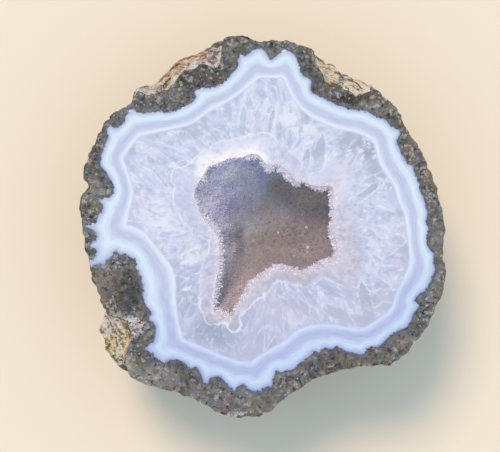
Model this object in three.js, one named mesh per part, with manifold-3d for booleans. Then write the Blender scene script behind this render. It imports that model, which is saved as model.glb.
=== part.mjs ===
// Half of a geode, sawn across and polished: a rounded nodule of dark volcanic rock, filled
// with banded agate and quartz around a hollow, and a crust of quartz points in the hollow.
// Sizes are in millimetres and +Z is up. The sawn face is level at the top, and the origin is
// the middle of the flat patch underneath, where the stone rests.
import * as THREE from "three";
import { MeshSurfaceSampler } from "three/addons/math/MeshSurfaceSampler.js";
import { mergeVertices } from "three/addons/utils/BufferGeometryUtils.js";
import Module from "manifold-3d";

const wasm = await Module();
wasm.setup();

// Main sizes
const HEIGHT = 42; // rest patch to sawn face
const GIRTH_DROP = 7; // sawn face down to the widest girth
const REST_RADIUS = 15; // flat patch underneath, on average
const HOLLOW_DEPTH = 21; // sawn face down to the crystals on the floor
const CRUST_ON_FLOOR = 2; // thickness of the crust at the floor
const CRUST_GAP = 0.35; // clearance between the crust and the stone behind it

// How finely the surfaces are cut up
const STONE_COLUMNS = 120;
const HOLLOW_COLUMNS = 48;
const SHOULDER_ROWS = 3; // sawn face to girth
const SIDE_ROWS = 12; // girth to rest patch
const HOLLOW_ROWS = 6;
const SAMPLES_PER_POINT = 12;
const CURVE_TENSION = 0.5;
const MERGE_DISTANCE = 1e-4;

// Widest girth seen from above, anticlockwise from the right.
const GIRTH = [
  [45.6, 0], [44.6, 5.8], [42.9, 10.1], [41, 15.1], [39.4, 19.8], [35.5, 25.1], [34.4, 28.5],
  [31.9, 31.3], [28.5, 34.7], [25.2, 37.2], [21.3, 38.5], [17.8, 40.9], [14.6, 41.8],
  [11.9, 44.9], [7.3, 46.6], [2.5, 47.1], [-1.4, 46.9], [-4.9, 48], [-10, 47.4], [-15.2, 45],
  [-20.2, 42.8], [-25.2, 39.3], [-27.7, 36.2], [-30.3, 36], [-32, 35.2], [-33.7, 31.6],
  [-37.6, 28.6], [-40.5, 25.3], [-42.9, 21], [-45, 15.6], [-45.2, 13.2], [-44, 10.1],
  [-45.6, 7.1], [-45.6, 1.5], [-45.2, -4], [-44.1, -9], [-42.4, -14], [-40.4, -18.8],
  [-39.2, -20.5], [-40.6, -24.1], [-39.9, -29.3], [-38.4, -32.6], [-35.5, -34.7],
  [-32.6, -37.3], [-28.6, -39.3], [-24, -40.8], [-19.7, -42.2], [-15.4, -44.1], [-12, -46],
  [-8, -47.7], [-3.9, -46.7], [0.5, -46.5], [3.6, -44.3], [7.7, -41.4], [11.8, -38.6],
  [15.6, -37.1], [22.4, -35], [27.9, -34.9], [33.1, -33.5], [37, -29.9], [40.8, -25.1],
  [43.5, -20], [44.8, -15.8], [45.3, -9.9], [45.4, -4.9],
];

// Three stretches where the sawn edge steps in from the girth and leaves a ledge below it.
const LEDGES = {
  upperRight: [
    [28, 34.9], [25.2, 33.9], [23.3, 33.6], [20.7, 34.7], [16.2, 36.1], [14.6, 39],
    [12.7, 42.3], [12.2, 44.9],
  ],
  upperLeft: [
    [-10.9, 42.5], [-12.5, 40.7], [-15.6, 41.4], [-18.5, 39.8], [-21.3, 38.9], [-23.4, 35.5],
    [-24.6, 33.3], [-26, 34.2], [-29.8, 33.7], [-31.8, 34.6],
  ],
  lowerLeft: [
    [-37.8, -21.8], [-35.2, -23], [-34, -25], [-33.4, -27.5], [-33.8, -29.5], [-34.9, -31.5],
    [-35.2, -33.5], [-34.6, -35.5],
  ],
};

// Mouth of the hollow, at the inner edge of the crust.
const MOUTH = [
  [17, -1.8], [16.3, -0.3], [16.8, 4.4], [16.5, 9.6], [12.5, 8.8], [9.1, 10.6], [7.5, 10.1],
  [3.9, 13.8], [2.4, 14.6], [1.4, 13.8], [-0.6, 16.8], [-1.9, 18.5], [-5.9, 17.5],
  [-10.3, 16.5], [-13, 15.5], [-14.8, 13.5], [-16.7, 8.4], [-15.5, 4.4], [-13.8, 1.7],
  [-11, -0.8], [-9.8, -4], [-10, -8], [-10.8, -12.7], [-11.8, -18.7], [-11.3, -20],
  [-8.6, -21.5], [-7.6, -21], [-5.9, -18], [-3.9, -14], [-2.3, -12.3], [0.8, -10],
  [3.8, -8.8], [7.5, -10], [9.1, -10.3], [12.8, -8.6], [16.7, -7.3], [17.2, -5.6],
];

// Edge of the stone behind the crust, about two millimetres outside the mouth.
const SOCKET = [
  [19, -2], [18.6, 3], [19, 8], [17.5, 11.8], [13, 11.6], [9.5, 13.5], [5.5, 16.6],
  [1.5, 18.2], [-1.5, 20.8], [-6, 19.8], [-11, 18.8], [-15, 16.8], [-17.6, 13],
  [-18.8, 8.5], [-17.8, 4], [-15.5, 0.5], [-12.6, -2], [-12, -5], [-12.3, -9], [-13, -13],
  [-13.8, -18], [-13.2, -21.5], [-10.5, -23.6], [-7.5, -23.6], [-5.2, -21], [-3.2, -17],
  [-0.8, -14], [2.5, -12], [6, -12], [9.5, -12.6], [13.5, -11], [17.5, -9.8], [19.3, -7],
];

// How the wall of the hollow runs below its mouth: it undercuts the edge on the right, and
// slopes in gently on the upper left. Each entry is a compass angle in degrees and a reach.
const UNDERCUT = [
  [0, 4.5], [40, 5], [80, 1], [125, -4.5], [165, -4], [205, 1], [245, 0.5], [290, 1.5],
  [330, 3],
];

// Knobs and dents of the rough outside: compass angle in degrees, height above the rest
// plane, half-widths round the stone and up its side, and how far each stands out.
const KNOBS = [
  { angle: 12, height: 22, round: 8, tall: 5, rise: 2.6 },
  { angle: 20, height: 33, round: 5, tall: 3, rise: -1.2 },
  { angle: 34, height: 12, round: 6, tall: 5, rise: 2.8 },
  { angle: 47, height: 27, round: 5, tall: 4, rise: -2.3 },
  { angle: 63, height: 20, round: 8, tall: 5, rise: 3 },
  { angle: 79, height: 31, round: 6, tall: 3, rise: 1.2 },
  { angle: 88, height: 9, round: 7, tall: 5, rise: 2.4 },
  { angle: 97, height: 24, round: 5, tall: 4, rise: -2.4 },
  { angle: 118, height: 17, round: 8, tall: 6, rise: 3.2 },
  { angle: 131, height: 30, round: 7, tall: 3, rise: 1.6 },
  { angle: 142, height: 24, round: 5, tall: 3.5, rise: -2.2 },
  { angle: 152, height: 11, round: 6, tall: 4, rise: 2.5 },
  { angle: 171, height: 24, round: 7, tall: 5, rise: 2.7 },
  { angle: 190, height: 14, round: 5, tall: 4, rise: -2.6 },
  { angle: 199, height: 28, round: 6, tall: 4, rise: 1.8 },
  { angle: 211, height: 17, round: 7, tall: 5, rise: 2.2 },
  { angle: 221, height: 27, round: 7, tall: 6, rise: 2.6 },
  { angle: 236, height: 11, round: 7, tall: 5, rise: 2.5 },
  { angle: 250, height: 24, round: 5, tall: 4, rise: -2.5 },
  { angle: 263, height: 31, round: 6, tall: 3, rise: 1.4 },
  { angle: 272, height: 17, round: 8, tall: 5, rise: 3 },
  { angle: 289, height: 27, round: 7, tall: 4, rise: 2 },
  { angle: 301, height: 11, round: 5, tall: 4, rise: -2.3 },
  { angle: 318, height: 19, round: 8, tall: 5, rise: 3 },
  { angle: 333, height: 30, round: 6, tall: 3.5, rise: -1.6 },
  { angle: 342, height: 11, round: 6, tall: 4, rise: 2.5 },
];
const EVENED_OVER = 7; // below the girth, its outline evens out over this many columns
const EVENING_RATE = 2; // and is quite even half-way down the side
const REST_WAVES = [[2, 1, 0.08], [3, 0, 0.06]]; // waves round the patch: count, phase, share
const GRAIN = 0.45; // how far the rough outside strays from a smooth one, either way
const STONE_SEED = 11;

// Quartz points
const CRYSTAL_SPACING = 3; // least distance between two of them
const CRYSTAL_TRIES = 1500; // places tried
const CRYSTAL_RADIUS = [1.3, 1.9]; // smallest and largest
const CRYSTAL_RISE = [1.4, 2.4]; // how far a tip stands out of the crust
const CRYSTAL_ROOT = 0.5; // how deep it is set in
const CRYSTAL_LEAN = 0.35; // how far it may lean from square to the crust
const ARM_BELOW = -12; // the narrow arm of the hollow lies below this Y
const ARM_SCALE = 0.6; // and has smaller points
const SAWN_OFF = 1.5; // how far the crust is grown past the sawn face, before the saw
const CRYSTAL_SEED = 29;

// Colours
const ROCK_GREY = 0x6b635a;
const DRUSE_LILAC = 0xb4adb6;

const TURN = 2 * Math.PI;
const REST_POINT = new THREE.Vector3(0, 0, 0);

// Repeatable random numbers from 0 to 1, by a linear congruential generator.
function randomSource(seed) {
  const factor = 1664525;
  const step = 1013904223;
  const range = 2 ** 32;
  let state = seed;
  return () => {
    state = (state * factor + step) % range;
    return state / range;
  };
}

// Compass angle of a place seen from above: 0 to the right, rising anticlockwise.
function compass(x, y) {
  return (Math.atan2(y, x) + TURN) % TURN;
}

// A table of [angle, value] in ascending angles, read between its entries and round the seam.
function readRound(table, angle) {
  const next = table.findIndex(([at]) => at > angle);
  const after = next === -1 ? [table[0][0] + TURN, table[0][1]] : table[next];
  const before = next === 0 ? [table.at(-1)[0] - TURN, table.at(-1)[1]] : table.at(next - 1);
  const share = (angle - before[0]) / (after[0] - before[0]);
  return THREE.MathUtils.lerp(before[1], after[1], share);
}

// A closed smooth curve through the points, read off at even compass angles.
function outline(points, columns) {
  const corners = points.map(([x, y]) => new THREE.Vector3(x, y, 0));
  const curve = new THREE.CatmullRomCurve3(corners, true, "catmullrom", CURVE_TENSION);
  const polar = curve
    .getPoints(points.length * SAMPLES_PER_POINT)
    .slice(1)
    .map(({ x, y }) => [compass(x, y), Math.hypot(x, y)])
    .sort((a, b) => a[0] - b[0]);
  return Array.from({ length: columns }, (_, column) => {
    const angle = (column / columns) * TURN;
    const radius = readRound(polar, angle);
    return new THREE.Vector2(radius * Math.cos(angle), radius * Math.sin(angle));
  });
}

// The outline moved inwards by a distance, square to itself.
function inset(points, distance) {
  return points.map((point, i) => {
    const ahead = points[(i + 1) % points.length];
    const behind = points.at(i - 1);
    const along = ahead.clone().sub(behind).normalize();
    return point.clone().add(new THREE.Vector2(-along.y, along.x).multiplyScalar(distance));
  });
}

// The outline with each radius evened out over its neighbours.
function evened(points) {
  return points.map((point, i) => {
    const near = Array.from({ length: 2 * EVENED_OVER + 1 }, (_, step) =>
      points[(i + step - EVENED_OVER + points.length) % points.length].length(),
    );
    const mean = near.reduce((sum, radius) => sum + radius, 0) / near.length;
    return point.clone().setLength(mean);
  });
}

// The girth's points, with those along each ledge replaced by the ledge's own.
function sawnEdgePoints() {
  const ledges = Object.values(LEDGES);
  const kept = GIRTH.filter(([x, y]) =>
    ledges.every((ledge) => {
      const from = compass(...ledge[0]);
      const to = compass(...ledge.at(-1));
      const angle = compass(x, y);
      return angle < from || angle > to;
    }),
  );
  return [...kept, ...ledges.flat()].sort((a, b) => compass(...a) - compass(...b));
}

// Triangles between an upper and a lower ring of as many points, facing away from the axis.
function band(upper, lower) {
  return upper.flatMap((corner, i) => {
    const j = (i + 1) % upper.length;
    return [corner, lower[i], lower[j], corner, lower[j], upper[j]];
  });
}

// A surface that runs down through the rings and closes at a tip, facing outwards.
function skin(rings, tip) {
  const last = rings.at(-1);
  const closing = last.flatMap((corner, i) => [corner, tip, last[(i + 1) % last.length]]);
  return [...rings.slice(1).flatMap((ring, i) => band(rings[i], ring)), ...closing];
}

// The same triangles facing the other way.
function flipped(corners) {
  return corners.flatMap((corner, i) => (i % 3 ? [] : [corner, corners[i + 2], corners[i + 1]]));
}

// An indexed geometry of loose triangles, with their shared corners joined.
function geometryFrom(corners) {
  return mergeVertices(new THREE.BufferGeometry().setFromPoints(corners), MERGE_DISTANCE);
}

// Where the rough side lies at a column and a row: rows count from the sawn face down.
function sidePoint(sawn, girth, body, row) {
  const angle = compass(girth.x, girth.y);
  const girthRadius = girth.length();
  const girthHeight = HEIGHT - GIRTH_DROP;
  if (row <= SHOULDER_ROWS) {
    const share = row / SHOULDER_ROWS;
    const radius = THREE.MathUtils.lerp(sawn.length(), girthRadius, share);
    const z = HEIGHT - GIRTH_DROP * Math.sqrt(share);
    return new THREE.Vector3(radius * Math.cos(angle), radius * Math.sin(angle), z);
  }
  const waves = REST_WAVES.map(([count, phase, share]) => share * Math.sin(count * angle + phase));
  const restRadius = REST_RADIUS * waves.reduce((sum, wave) => sum + wave, 1);
  const share = (row - SHOULDER_ROWS) / SIDE_ROWS;
  const evening = Math.min(1, EVENING_RATE * share);
  const bodyRadius = THREE.MathUtils.lerp(girthRadius, body.length(), evening);
  const lowest = Math.acos(restRadius / bodyRadius);
  const dip = lowest * share;
  const radius = bodyRadius * Math.cos(dip);
  const z = girthHeight * (1 - Math.sin(dip) / Math.sin(lowest));
  const rise = knobRise(angle, z, radius) * Math.sqrt(Math.max(Math.sin(share * Math.PI), 0));
  const reach = radius + rise * Math.cos(dip);
  return new THREE.Vector3(
    reach * Math.cos(angle),
    reach * Math.sin(angle),
    share === 1 ? 0 : z - rise * Math.sin(dip),
  );
}

// The knobs and dents together, each one a rounded hill.
function knobRise(angle, z, radius) {
  return KNOBS.reduce((sum, knob) => {
    const apart = THREE.MathUtils.degToRad(knob.angle) - angle;
    const turn = Math.atan2(Math.sin(apart), Math.cos(apart));
    const round = (turn * radius) / knob.round;
    const up = (z - knob.height) / knob.tall;
    return sum + knob.rise * Math.exp(-(round * round) - up * up);
  }, 0);
}

// Rings of the hollow, from its mouth down to just above the floor's middle. A dip of 90
// degrees would be the floor's middle itself.
function hollowRings(mouth, depth) {
  const table = UNDERCUT.map(([degrees, reach]) => [THREE.MathUtils.degToRad(degrees), reach]);
  return Array.from({ length: HOLLOW_ROWS }, (_, row) => {
    const dip = (row / HOLLOW_ROWS) * (Math.PI / 2);
    return mouth.map((point) => {
      const reach = readRound(table, compass(point.x, point.y)) * Math.sin(2 * dip);
      const at = point.clone().multiplyScalar(Math.cos(dip));
      at.add(point.clone().normalize().multiplyScalar(reach));
      return new THREE.Vector3(at.x, at.y, HEIGHT - depth * Math.sin(dip));
    });
  });
}

// Middle of the hollow's floor.
function floorPoint(depth) {
  return new THREE.Vector3(0, 0, HEIGHT - depth);
}

// The stone: rough side and underneath, level sawn face, and the hollow behind the crust.
function stoneGeometry() {
  const random = randomSource(STONE_SEED);
  const girth = outline(GIRTH, STONE_COLUMNS);
  const body = evened(girth);
  const sawn = outline(sawnEdgePoints(), STONE_COLUMNS);
  const rows = SHOULDER_ROWS + SIDE_ROWS;
  const side = Array.from({ length: rows + 1 }, (_, row) =>
    girth.map((point, i) => {
      const at = sidePoint(sawn[i], point, body[i], row);
      const free = row !== 0 && row !== SHOULDER_ROWS && row !== rows;
      const stray = (2 * random() - 1) * GRAIN;
      return free ? at.setLength(at.length() + stray) : at;
    }),
  );
  const socket = outline(SOCKET, HOLLOW_COLUMNS);
  const depth = HOLLOW_DEPTH + CRUST_ON_FLOOR + CRUST_GAP;
  const hollow = hollowRings(socket, depth);
  const sawnFace = THREE.ShapeUtils.triangulateShape(sawn, [socket.toReversed()]);
  const level = [...side[0], ...hollow[0].toReversed()];
  return geometryFrom([
    ...skin(side, REST_POINT),
    ...sawnFace.flat().map((corner) => level[corner]),
    ...flipped(skin(hollow, floorPoint(depth))),
  ]);
}

// Closed geometry as a solid that can be joined and cut, and back again below.
function toSolid(geometry) {
  return new wasm.Manifold(
    new wasm.Mesh({
      numProp: 3,
      vertProperties: new Float32Array(geometry.getAttribute("position").array),
      triVerts: new Uint32Array(geometry.getIndex().array),
    }),
  );
}

function fromSolid(solid) {
  const { vertProperties, triVerts } = solid.getMesh();
  return new THREE.BufferGeometry()
    .setAttribute("position", new THREE.BufferAttribute(vertProperties, 3))
    .setIndex(new THREE.BufferAttribute(triVerts, 1));
}

// One quartz point: a six-sided tip with its foot set in, standing on the origin along +Y.
function crystalGeometry(radius, rise) {
  const profile = [[0, -CRYSTAL_ROOT], [radius, -CRYSTAL_ROOT], [0, rise]];
  const geometry = new THREE.LatheGeometry(profile.map(([x, y]) => new THREE.Vector2(x, y)), 6);
  geometry.deleteAttribute("normal");
  geometry.deleteAttribute("uv");
  return mergeVertices(geometry, MERGE_DISTANCE);
}

// Places for the quartz points, spread evenly over the inside of the crust.
function crystalPlaces(innerSurface, random) {
  const sampler = new MeshSurfaceSampler(new THREE.Mesh(innerSurface));
  sampler.setRandomGenerator(random).build();
  const places = [];
  for (let attempt = 0; attempt < CRYSTAL_TRIES; attempt += 1) {
    const at = new THREE.Vector3();
    const facing = new THREE.Vector3();
    sampler.sample(at, facing);
    if (at.z < HEIGHT && places.every((place) => place.at.distanceTo(at) > CRYSTAL_SPACING)) {
      places.push({ at, facing });
    }
  }
  return places;
}

// Rings with one more above the first, past the sawn face.
function grownPastSaw(rings) {
  const raised = rings[0].map(({ x, y, z }) => new THREE.Vector3(x, y, z + SAWN_OFF));
  return [raised, ...rings];
}

// The crust: a thin bowl with quartz points on its inside, sawn off level with the stone.
function crustGeometry() {
  const random = randomSource(CRYSTAL_SEED);
  const backDepth = HOLLOW_DEPTH + CRUST_ON_FLOOR;
  const backEdge = inset(outline(SOCKET, HOLLOW_COLUMNS), CRUST_GAP);
  const back = grownPastSaw(hollowRings(backEdge, backDepth));
  const front = grownPastSaw(hollowRings(outline(MOUTH, HOLLOW_COLUMNS), HOLLOW_DEPTH));
  const inside = flipped(skin(front, floorPoint(HOLLOW_DEPTH)));
  const outside = skin(back, floorPoint(backDepth));
  let crust = toSolid(geometryFrom([...inside, ...outside, ...band(front[0], back[0])]));
  const upright = new THREE.Vector3(0, 1, 0);
  for (const { at, facing } of crystalPlaces(geometryFrom(inside), random)) {
    const scale = at.y < ARM_BELOW ? ARM_SCALE : 1;
    const radius = THREE.MathUtils.lerp(...CRYSTAL_RADIUS, random()) * scale;
    const rise = THREE.MathUtils.lerp(...CRYSTAL_RISE, random()) * scale;
    const lean = new THREE.Vector3(random() - 0.5, random() - 0.5, random() - 0.5);
    const axis = facing.clone().addScaledVector(lean, 2 * CRYSTAL_LEAN).normalize();
    const crystal = crystalGeometry(radius, rise);
    crystal.rotateY(random() * Math.PI);
    crystal.applyQuaternion(new THREE.Quaternion().setFromUnitVectors(upright, axis));
    crystal.translate(at.x, at.y, at.z);
    crust = crust.add(toSolid(crystal));
  }
  const slab = new THREE.BoxGeometry(2 * HEIGHT, 2 * HEIGHT, HEIGHT);
  slab.deleteAttribute("normal");
  slab.deleteAttribute("uv");
  slab.translate(0, 0, 1.5 * HEIGHT);
  return fromSolid(crust.subtract(toSolid(mergeVertices(slab, MERGE_DISTANCE))));
}

// A named mesh with a plain material.
function piece(name, geometry, color, roughness) {
  const mesh = new THREE.Mesh(
    geometry,
    new THREE.MeshStandardMaterial({ color, roughness, metalness: 0 }),
  );
  mesh.name = name;
  return mesh;
}

const geode = new THREE.Group();
geode.add(piece("geode_stone", stoneGeometry(), ROCK_GREY, 0.85));
geode.add(piece("crystal_crust", crustGeometry(), DRUSE_LILAC, 0.3));

export default geode;
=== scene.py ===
"""Half of a geode, sawn and polished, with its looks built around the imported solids.

Lengths are in millimetres, and are turned into metres where Blender takes them. Outlines are
as seen from above. The sawn face is level at the top, and the stone rests on a flat patch at
the origin.
"""

import logging
import math
from dataclasses import dataclass, field
from enum import Enum
from typing import Any, NamedTuple

import bpy
import numpy as np
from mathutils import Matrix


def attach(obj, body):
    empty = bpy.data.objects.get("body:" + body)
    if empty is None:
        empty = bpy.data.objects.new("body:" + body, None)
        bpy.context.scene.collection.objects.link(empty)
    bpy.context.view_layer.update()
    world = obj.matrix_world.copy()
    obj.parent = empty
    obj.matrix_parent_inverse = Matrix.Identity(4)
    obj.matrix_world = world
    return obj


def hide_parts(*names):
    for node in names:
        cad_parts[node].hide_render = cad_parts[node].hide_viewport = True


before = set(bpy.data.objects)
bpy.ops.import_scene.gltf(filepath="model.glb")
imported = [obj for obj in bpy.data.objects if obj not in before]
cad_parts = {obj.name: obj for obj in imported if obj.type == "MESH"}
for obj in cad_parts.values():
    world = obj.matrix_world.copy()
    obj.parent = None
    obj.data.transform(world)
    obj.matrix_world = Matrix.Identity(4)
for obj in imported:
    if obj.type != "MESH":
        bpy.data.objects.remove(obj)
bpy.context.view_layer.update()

LOG = logging.getLogger("geode")
MM = 0.001
CREASE = math.radians(42)
TURN = 2 * math.pi

# Steps between an outline's points where it is read finely or coarsely, and how many places
# are measured against it together.
FINE_STEPS = 12
COARSE_STEPS = 4
PLACES_AT_ONCE = 2000

# Large odd numbers and shifts that scramble a cell's numbers into a share from 0 to 1.
CELL_FACTORS = np.array((374761393, 668265263, 2147483647))
SEED_FACTOR = 1274126177
HASH_ROUNDS = ((13, 1274126177), (16, 668265263))
LAST_SHIFT = 15
WORD = 0xFFFFFFFF
FRACTION = 0xFFFFFF

# How far a noise's cells shift for each seed, and how far from a seed, in cells, a lump's
# surface neither rises nor sinks.
SEED_SHIFT = 101.37
HALF_CELL = 0.45

# Where a spot's rim lies, in its reaches, and how bright the studio makes a white surface.
PATCH_RIM = 1.1
STUDIO_LIGHT = np.array((1.18, 1.23, 1.27))
GREY_DARK = (0.38, 0.38, 0.38, 1.0)
GREY_PALE = (0.62, 0.62, 0.62, 1.0)
CRYSTAL_SIDES = 6

# Widest girth, anticlockwise from the right.
GIRTH = (
    (45.6, 0), (44.6, 5.8), (42.9, 10.1), (41, 15.1), (39.4, 19.8), (35.5, 25.1), (34.4, 28.5),
    (31.9, 31.3), (28.5, 34.7), (25.2, 37.2), (21.3, 38.5), (17.8, 40.9), (14.6, 41.8),
    (11.9, 44.9), (7.3, 46.6), (2.5, 47.1), (-1.4, 46.9), (-4.9, 48), (-10, 47.4), (-15.2, 45),
    (-20.2, 42.8), (-25.2, 39.3), (-27.7, 36.2), (-30.3, 36), (-32, 35.2), (-33.7, 31.6),
    (-37.6, 28.6), (-40.5, 25.3), (-42.9, 21), (-45, 15.6), (-45.2, 13.2), (-44, 10.1),
    (-45.6, 7.1), (-45.6, 1.5), (-45.2, -4), (-44.1, -9), (-42.4, -14), (-40.4, -18.8),
    (-39.2, -20.5), (-41.2, -24.2), (-42, -26.6), (-40.7, -28.6), (-40.2, -31), (-38.9, -33.2),
    (-36.4, -35.2), (-34.2, -37.2), (-31.4, -38.8), (-28.6, -39.6), (-24, -40.8),
    (-19.7, -42.2), (-15.4, -44.1), (-12, -46), (-8, -47.7), (-3.9, -46.7), (0.5, -46.5),
    (3.6, -44.3), (7.7, -41.4), (11.8, -38.6), (15.6, -37.1), (22.4, -35), (27.9, -34.9),
    (33.1, -33.5), (37, -29.9), (40.8, -25.1), (43.5, -20), (44.8, -15.8), (45.3, -9.9),
    (45.4, -4.9),
)

# Stretches where the sawn edge steps in from the girth and leaves a ledge below it.
LEDGES = (
    ((28, 34.9), (25.2, 33.9), (23.3, 33.6), (20.7, 34.7), (16.2, 36.1), (14.6, 39),
     (12.7, 42.3), (12.2, 44.9)),
    ((-10.9, 42.5), (-12.5, 40.7), (-15.6, 41.4), (-18.5, 39.8), (-21.3, 38.9),
     (-23.4, 35.5), (-24.6, 33.3), (-26, 34.2), (-29.8, 33.7), (-31.8, 34.6)),
    ((-37.8, -21.8), (-35.2, -23), (-34, -25), (-33.4, -27.5), (-33.8, -29.5),
     (-34.9, -31.5), (-35.2, -33.5), (-34.6, -35.5)),
)

# Line between rock and agate: rounded lobes of rock, with agate pointing out between them.
ROCK_EDGE = (
    (41, 0), (40.4, 1.5), (40.7, 4), (40, 6.7), (38.9, 9.6), (38.6, 11.2), (37.3, 14.4),
    (36.8, 15.6), (36, 15.9), (34.4, 18.4), (33.1, 21.4), (33.5, 22.7), (33.9, 24.2),
    (33.3, 24.6), (32.2, 25.1), (30.1, 27), (27.6, 28), (25.3, 29.2), (21.7, 29.6), (18, 30.8),
    (14.8, 32.4), (12.1, 33.7), (11.5, 34.7), (11.6, 36.8), (9.7, 38), (9.1, 39.3), (8.8, 40.8),
    (7.6, 43.1), (5.4, 44.4), (4.3, 43.9), (2.2, 42.1), (1.3, 42.3), (-0.3, 44.6), (-2, 44.7),
    (-4.4, 43.1), (-5.8, 43), (-6.4, 41.6), (-6.6, 40.1), (-7.8, 38.6), (-9.9, 36.5),
    (-11.5, 35.4), (-13.7, 35), (-16.1, 34.7), (-17.4, 34.1), (-17, 33), (-17.4, 31.9),
    (-19, 30.7), (-22.7, 29.1), (-24.9, 28.7), (-25.9, 29.3), (-26.8, 28.9), (-29.1, 28.7),
    (-31.1, 28.7), (-33.5, 30), (-33.5, 28.7), (-34.5, 28.2), (-34.9, 26.5), (-36.8, 24.9),
    (-38.7, 25.4), (-39.3, 24), (-38.8, 22.8), (-39.9, 20.1), (-40.8, 16.9), (-40.5, 15.3),
    (-38.4, 12.5), (-37.5, 9.8), (-38.3, 7.8), (-40, 7.4), (-41.1, 6.9), (-40.2, 5.9),
    (-40.3, 4.4), (-41.3, 3.2), (-41.6, 1.8), (-42.4, 1.1), (-44.7, 0.7), (-43.4, 0.1),
    (-42.2, -0.8), (-41.7, -2.3), (-42.5, -3.5), (-43.4, -4.4), (-42, -5.3), (-42, -6.9),
    (-42.7, -7.9), (-44.4, -8.1), (-43.7, -9.4), (-42.3, -9.2), (-41.1, -8.7), (-39.9, -8.8),
    (-39.2, -7.8), (-38, -6.9), (-37.5, -5.9), (-36.7, -5.7), (-36, -6.4), (-34.8, -6.4),
    (-32.6, -7.5), (-31.9, -8.6), (-32, -10.2), (-31.2, -10.9), (-30.2, -14.5), (-30, -18.2),
    (-28.6, -20.6), (-27.9, -21.5), (-28.8, -22.7), (-27.9, -23.4), (-26.9, -24.9),
    (-27.5, -28.2), (-29.5, -30.1), (-27.9, -31.4), (-26.2, -33), (-25, -33.7), (-24.3, -33.2),
    (-22.3, -32.8), (-19.4, -33.8), (-19.1, -35), (-17, -34.8), (-16.1, -35.6), (-14.9, -38.5),
    (-14.2, -38.8), (-13.7, -37.7), (-12.7, -37.1), (-11, -37.1), (-9.4, -38.8), (-7.4, -40.5),
    (-6.3, -39.5), (-5.1, -39.1), (-4.1, -40), (-2.7, -40.5), (-1.3, -40.7), (0, -40),
    (1, -39.5), (1.7, -40.2), (2, -38.8), (3.1, -35.6), (3.9, -36.1), (5.5, -35.7),
    (7.2, -35.2), (9.9, -33), (12.5, -30.9), (13.9, -30.9), (15.1, -30), (16.9, -30.1),
    (18.3, -29.6), (20.7, -30.8), (23.6, -31.3), (25, -31.4), (25.7, -30.2), (26.9, -29.7),
    (28.8, -29.4), (31, -27.3), (33.7, -25.6), (36.1, -24.2), (37, -21.8), (38.5, -19.8),
    (38.4, -18.9), (37.7, -17.9), (39.4, -16), (40.6, -15.2), (42, -12.1), (42.5, -10.5),
    (42.3, -8.5), (42.3, -6.2), (41.3, -5.4), (40.6, -2.6),
)

# White line between agate and quartz.
WHITE_LINE = (
    (35.7, 0), (35.1, 3.7), (33.8, 6.5), (32.8, 10), (31.1, 12.8), (29, 16.3), (27.9, 20),
    (27.4, 21.4), (26, 22.6), (22.9, 24), (18.5, 24.9), (13.5, 26.9), (9.9, 29.2), (7.5, 32.1),
    (5.7, 35.5), (4.8, 37.5), (2.5, 37.6), (0, 37.6), (-1.5, 37.4), (-4.9, 34.6), (-9.1, 31.6),
    (-13.7, 29.2), (-17.9, 26.2), (-22.7, 24.9), (-27.3, 23.9), (-30.3, 23.2), (-31.7, 22.4),
    (-34.4, 18.9), (-35.2, 17.3), (-34.7, 15.6), (-33, 10.4), (-32.9, 8), (-33.7, 4.6),
    (-34.5, 0.9), (-33.1, 0.4), (-30, -1.1), (-26.9, -4.9), (-23.7, -9.1), (-22.4, -12.4),
    (-22.2, -17.6), (-21.6, -22), (-20.7, -26.4), (-20, -27.8), (-18.3, -28.6), (-13.5, -30.6),
    (-8.6, -32.7), (-4.4, -33.6), (-3, -33.3), (0, -31.2), (4.4, -28.7), (8, -25.8),
    (9.6, -24.9), (14.9, -24), (21.1, -24.8), (24, -25), (25.9, -24.6), (29.3, -22.2),
    (32, -19.6), (33.1, -16.1), (35.1, -12.4), (36.5, -8.5), (36.4, -6.1),
)

# Edge of the milky quartz round the hollow.
MILK_EDGE = (
    (24.2, -0.3), (22.9, 3.6), (21.9, 7.5), (22.5, 11.5), (22.9, 15.4), (20.9, 16.7),
    (16.5, 16.5), (14.2, 15.1), (12.5, 14.5), (10.1, 14.8), (9.1, 16.8), (7.5, 18.8), (4.5, 21),
    (0.8, 23.5), (-2.3, 23.3), (-7.8, 22.1), (-12.3, 20.9), (-16, 18.6), (-18.2, 16.4),
    (-20.6, 15), (-22.4, 14.7), (-23, 12), (-22.3, 10), (-22.6, 7.2), (-21.6, 3.6),
    (-18.3, -0.6), (-17.3, -2), (-13.6, -3.2), (-14.5, -7.5), (-16, -12), (-15.8, -14),
    (-16.1, -17.7), (-15.5, -20.7), (-14.3, -23.4), (-12.3, -24.1), (-9.3, -23.8),
    (-8.6, -25.4), (-7.6, -25.7), (-6.2, -25), (-6, -22.5), (-5, -21), (-2.4, -18.5),
    (0.2, -16.8), (2.1, -14.4), (3.8, -13.4), (6.8, -13.7), (10.2, -14.7), (12.5, -13.7),
    (15.4, -12.3), (17.3, -13), (19, -14.5), (22.5, -15.3), (24.5, -12.7), (25.5, -10.9),
    (25.2, -6.8),
)

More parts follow.
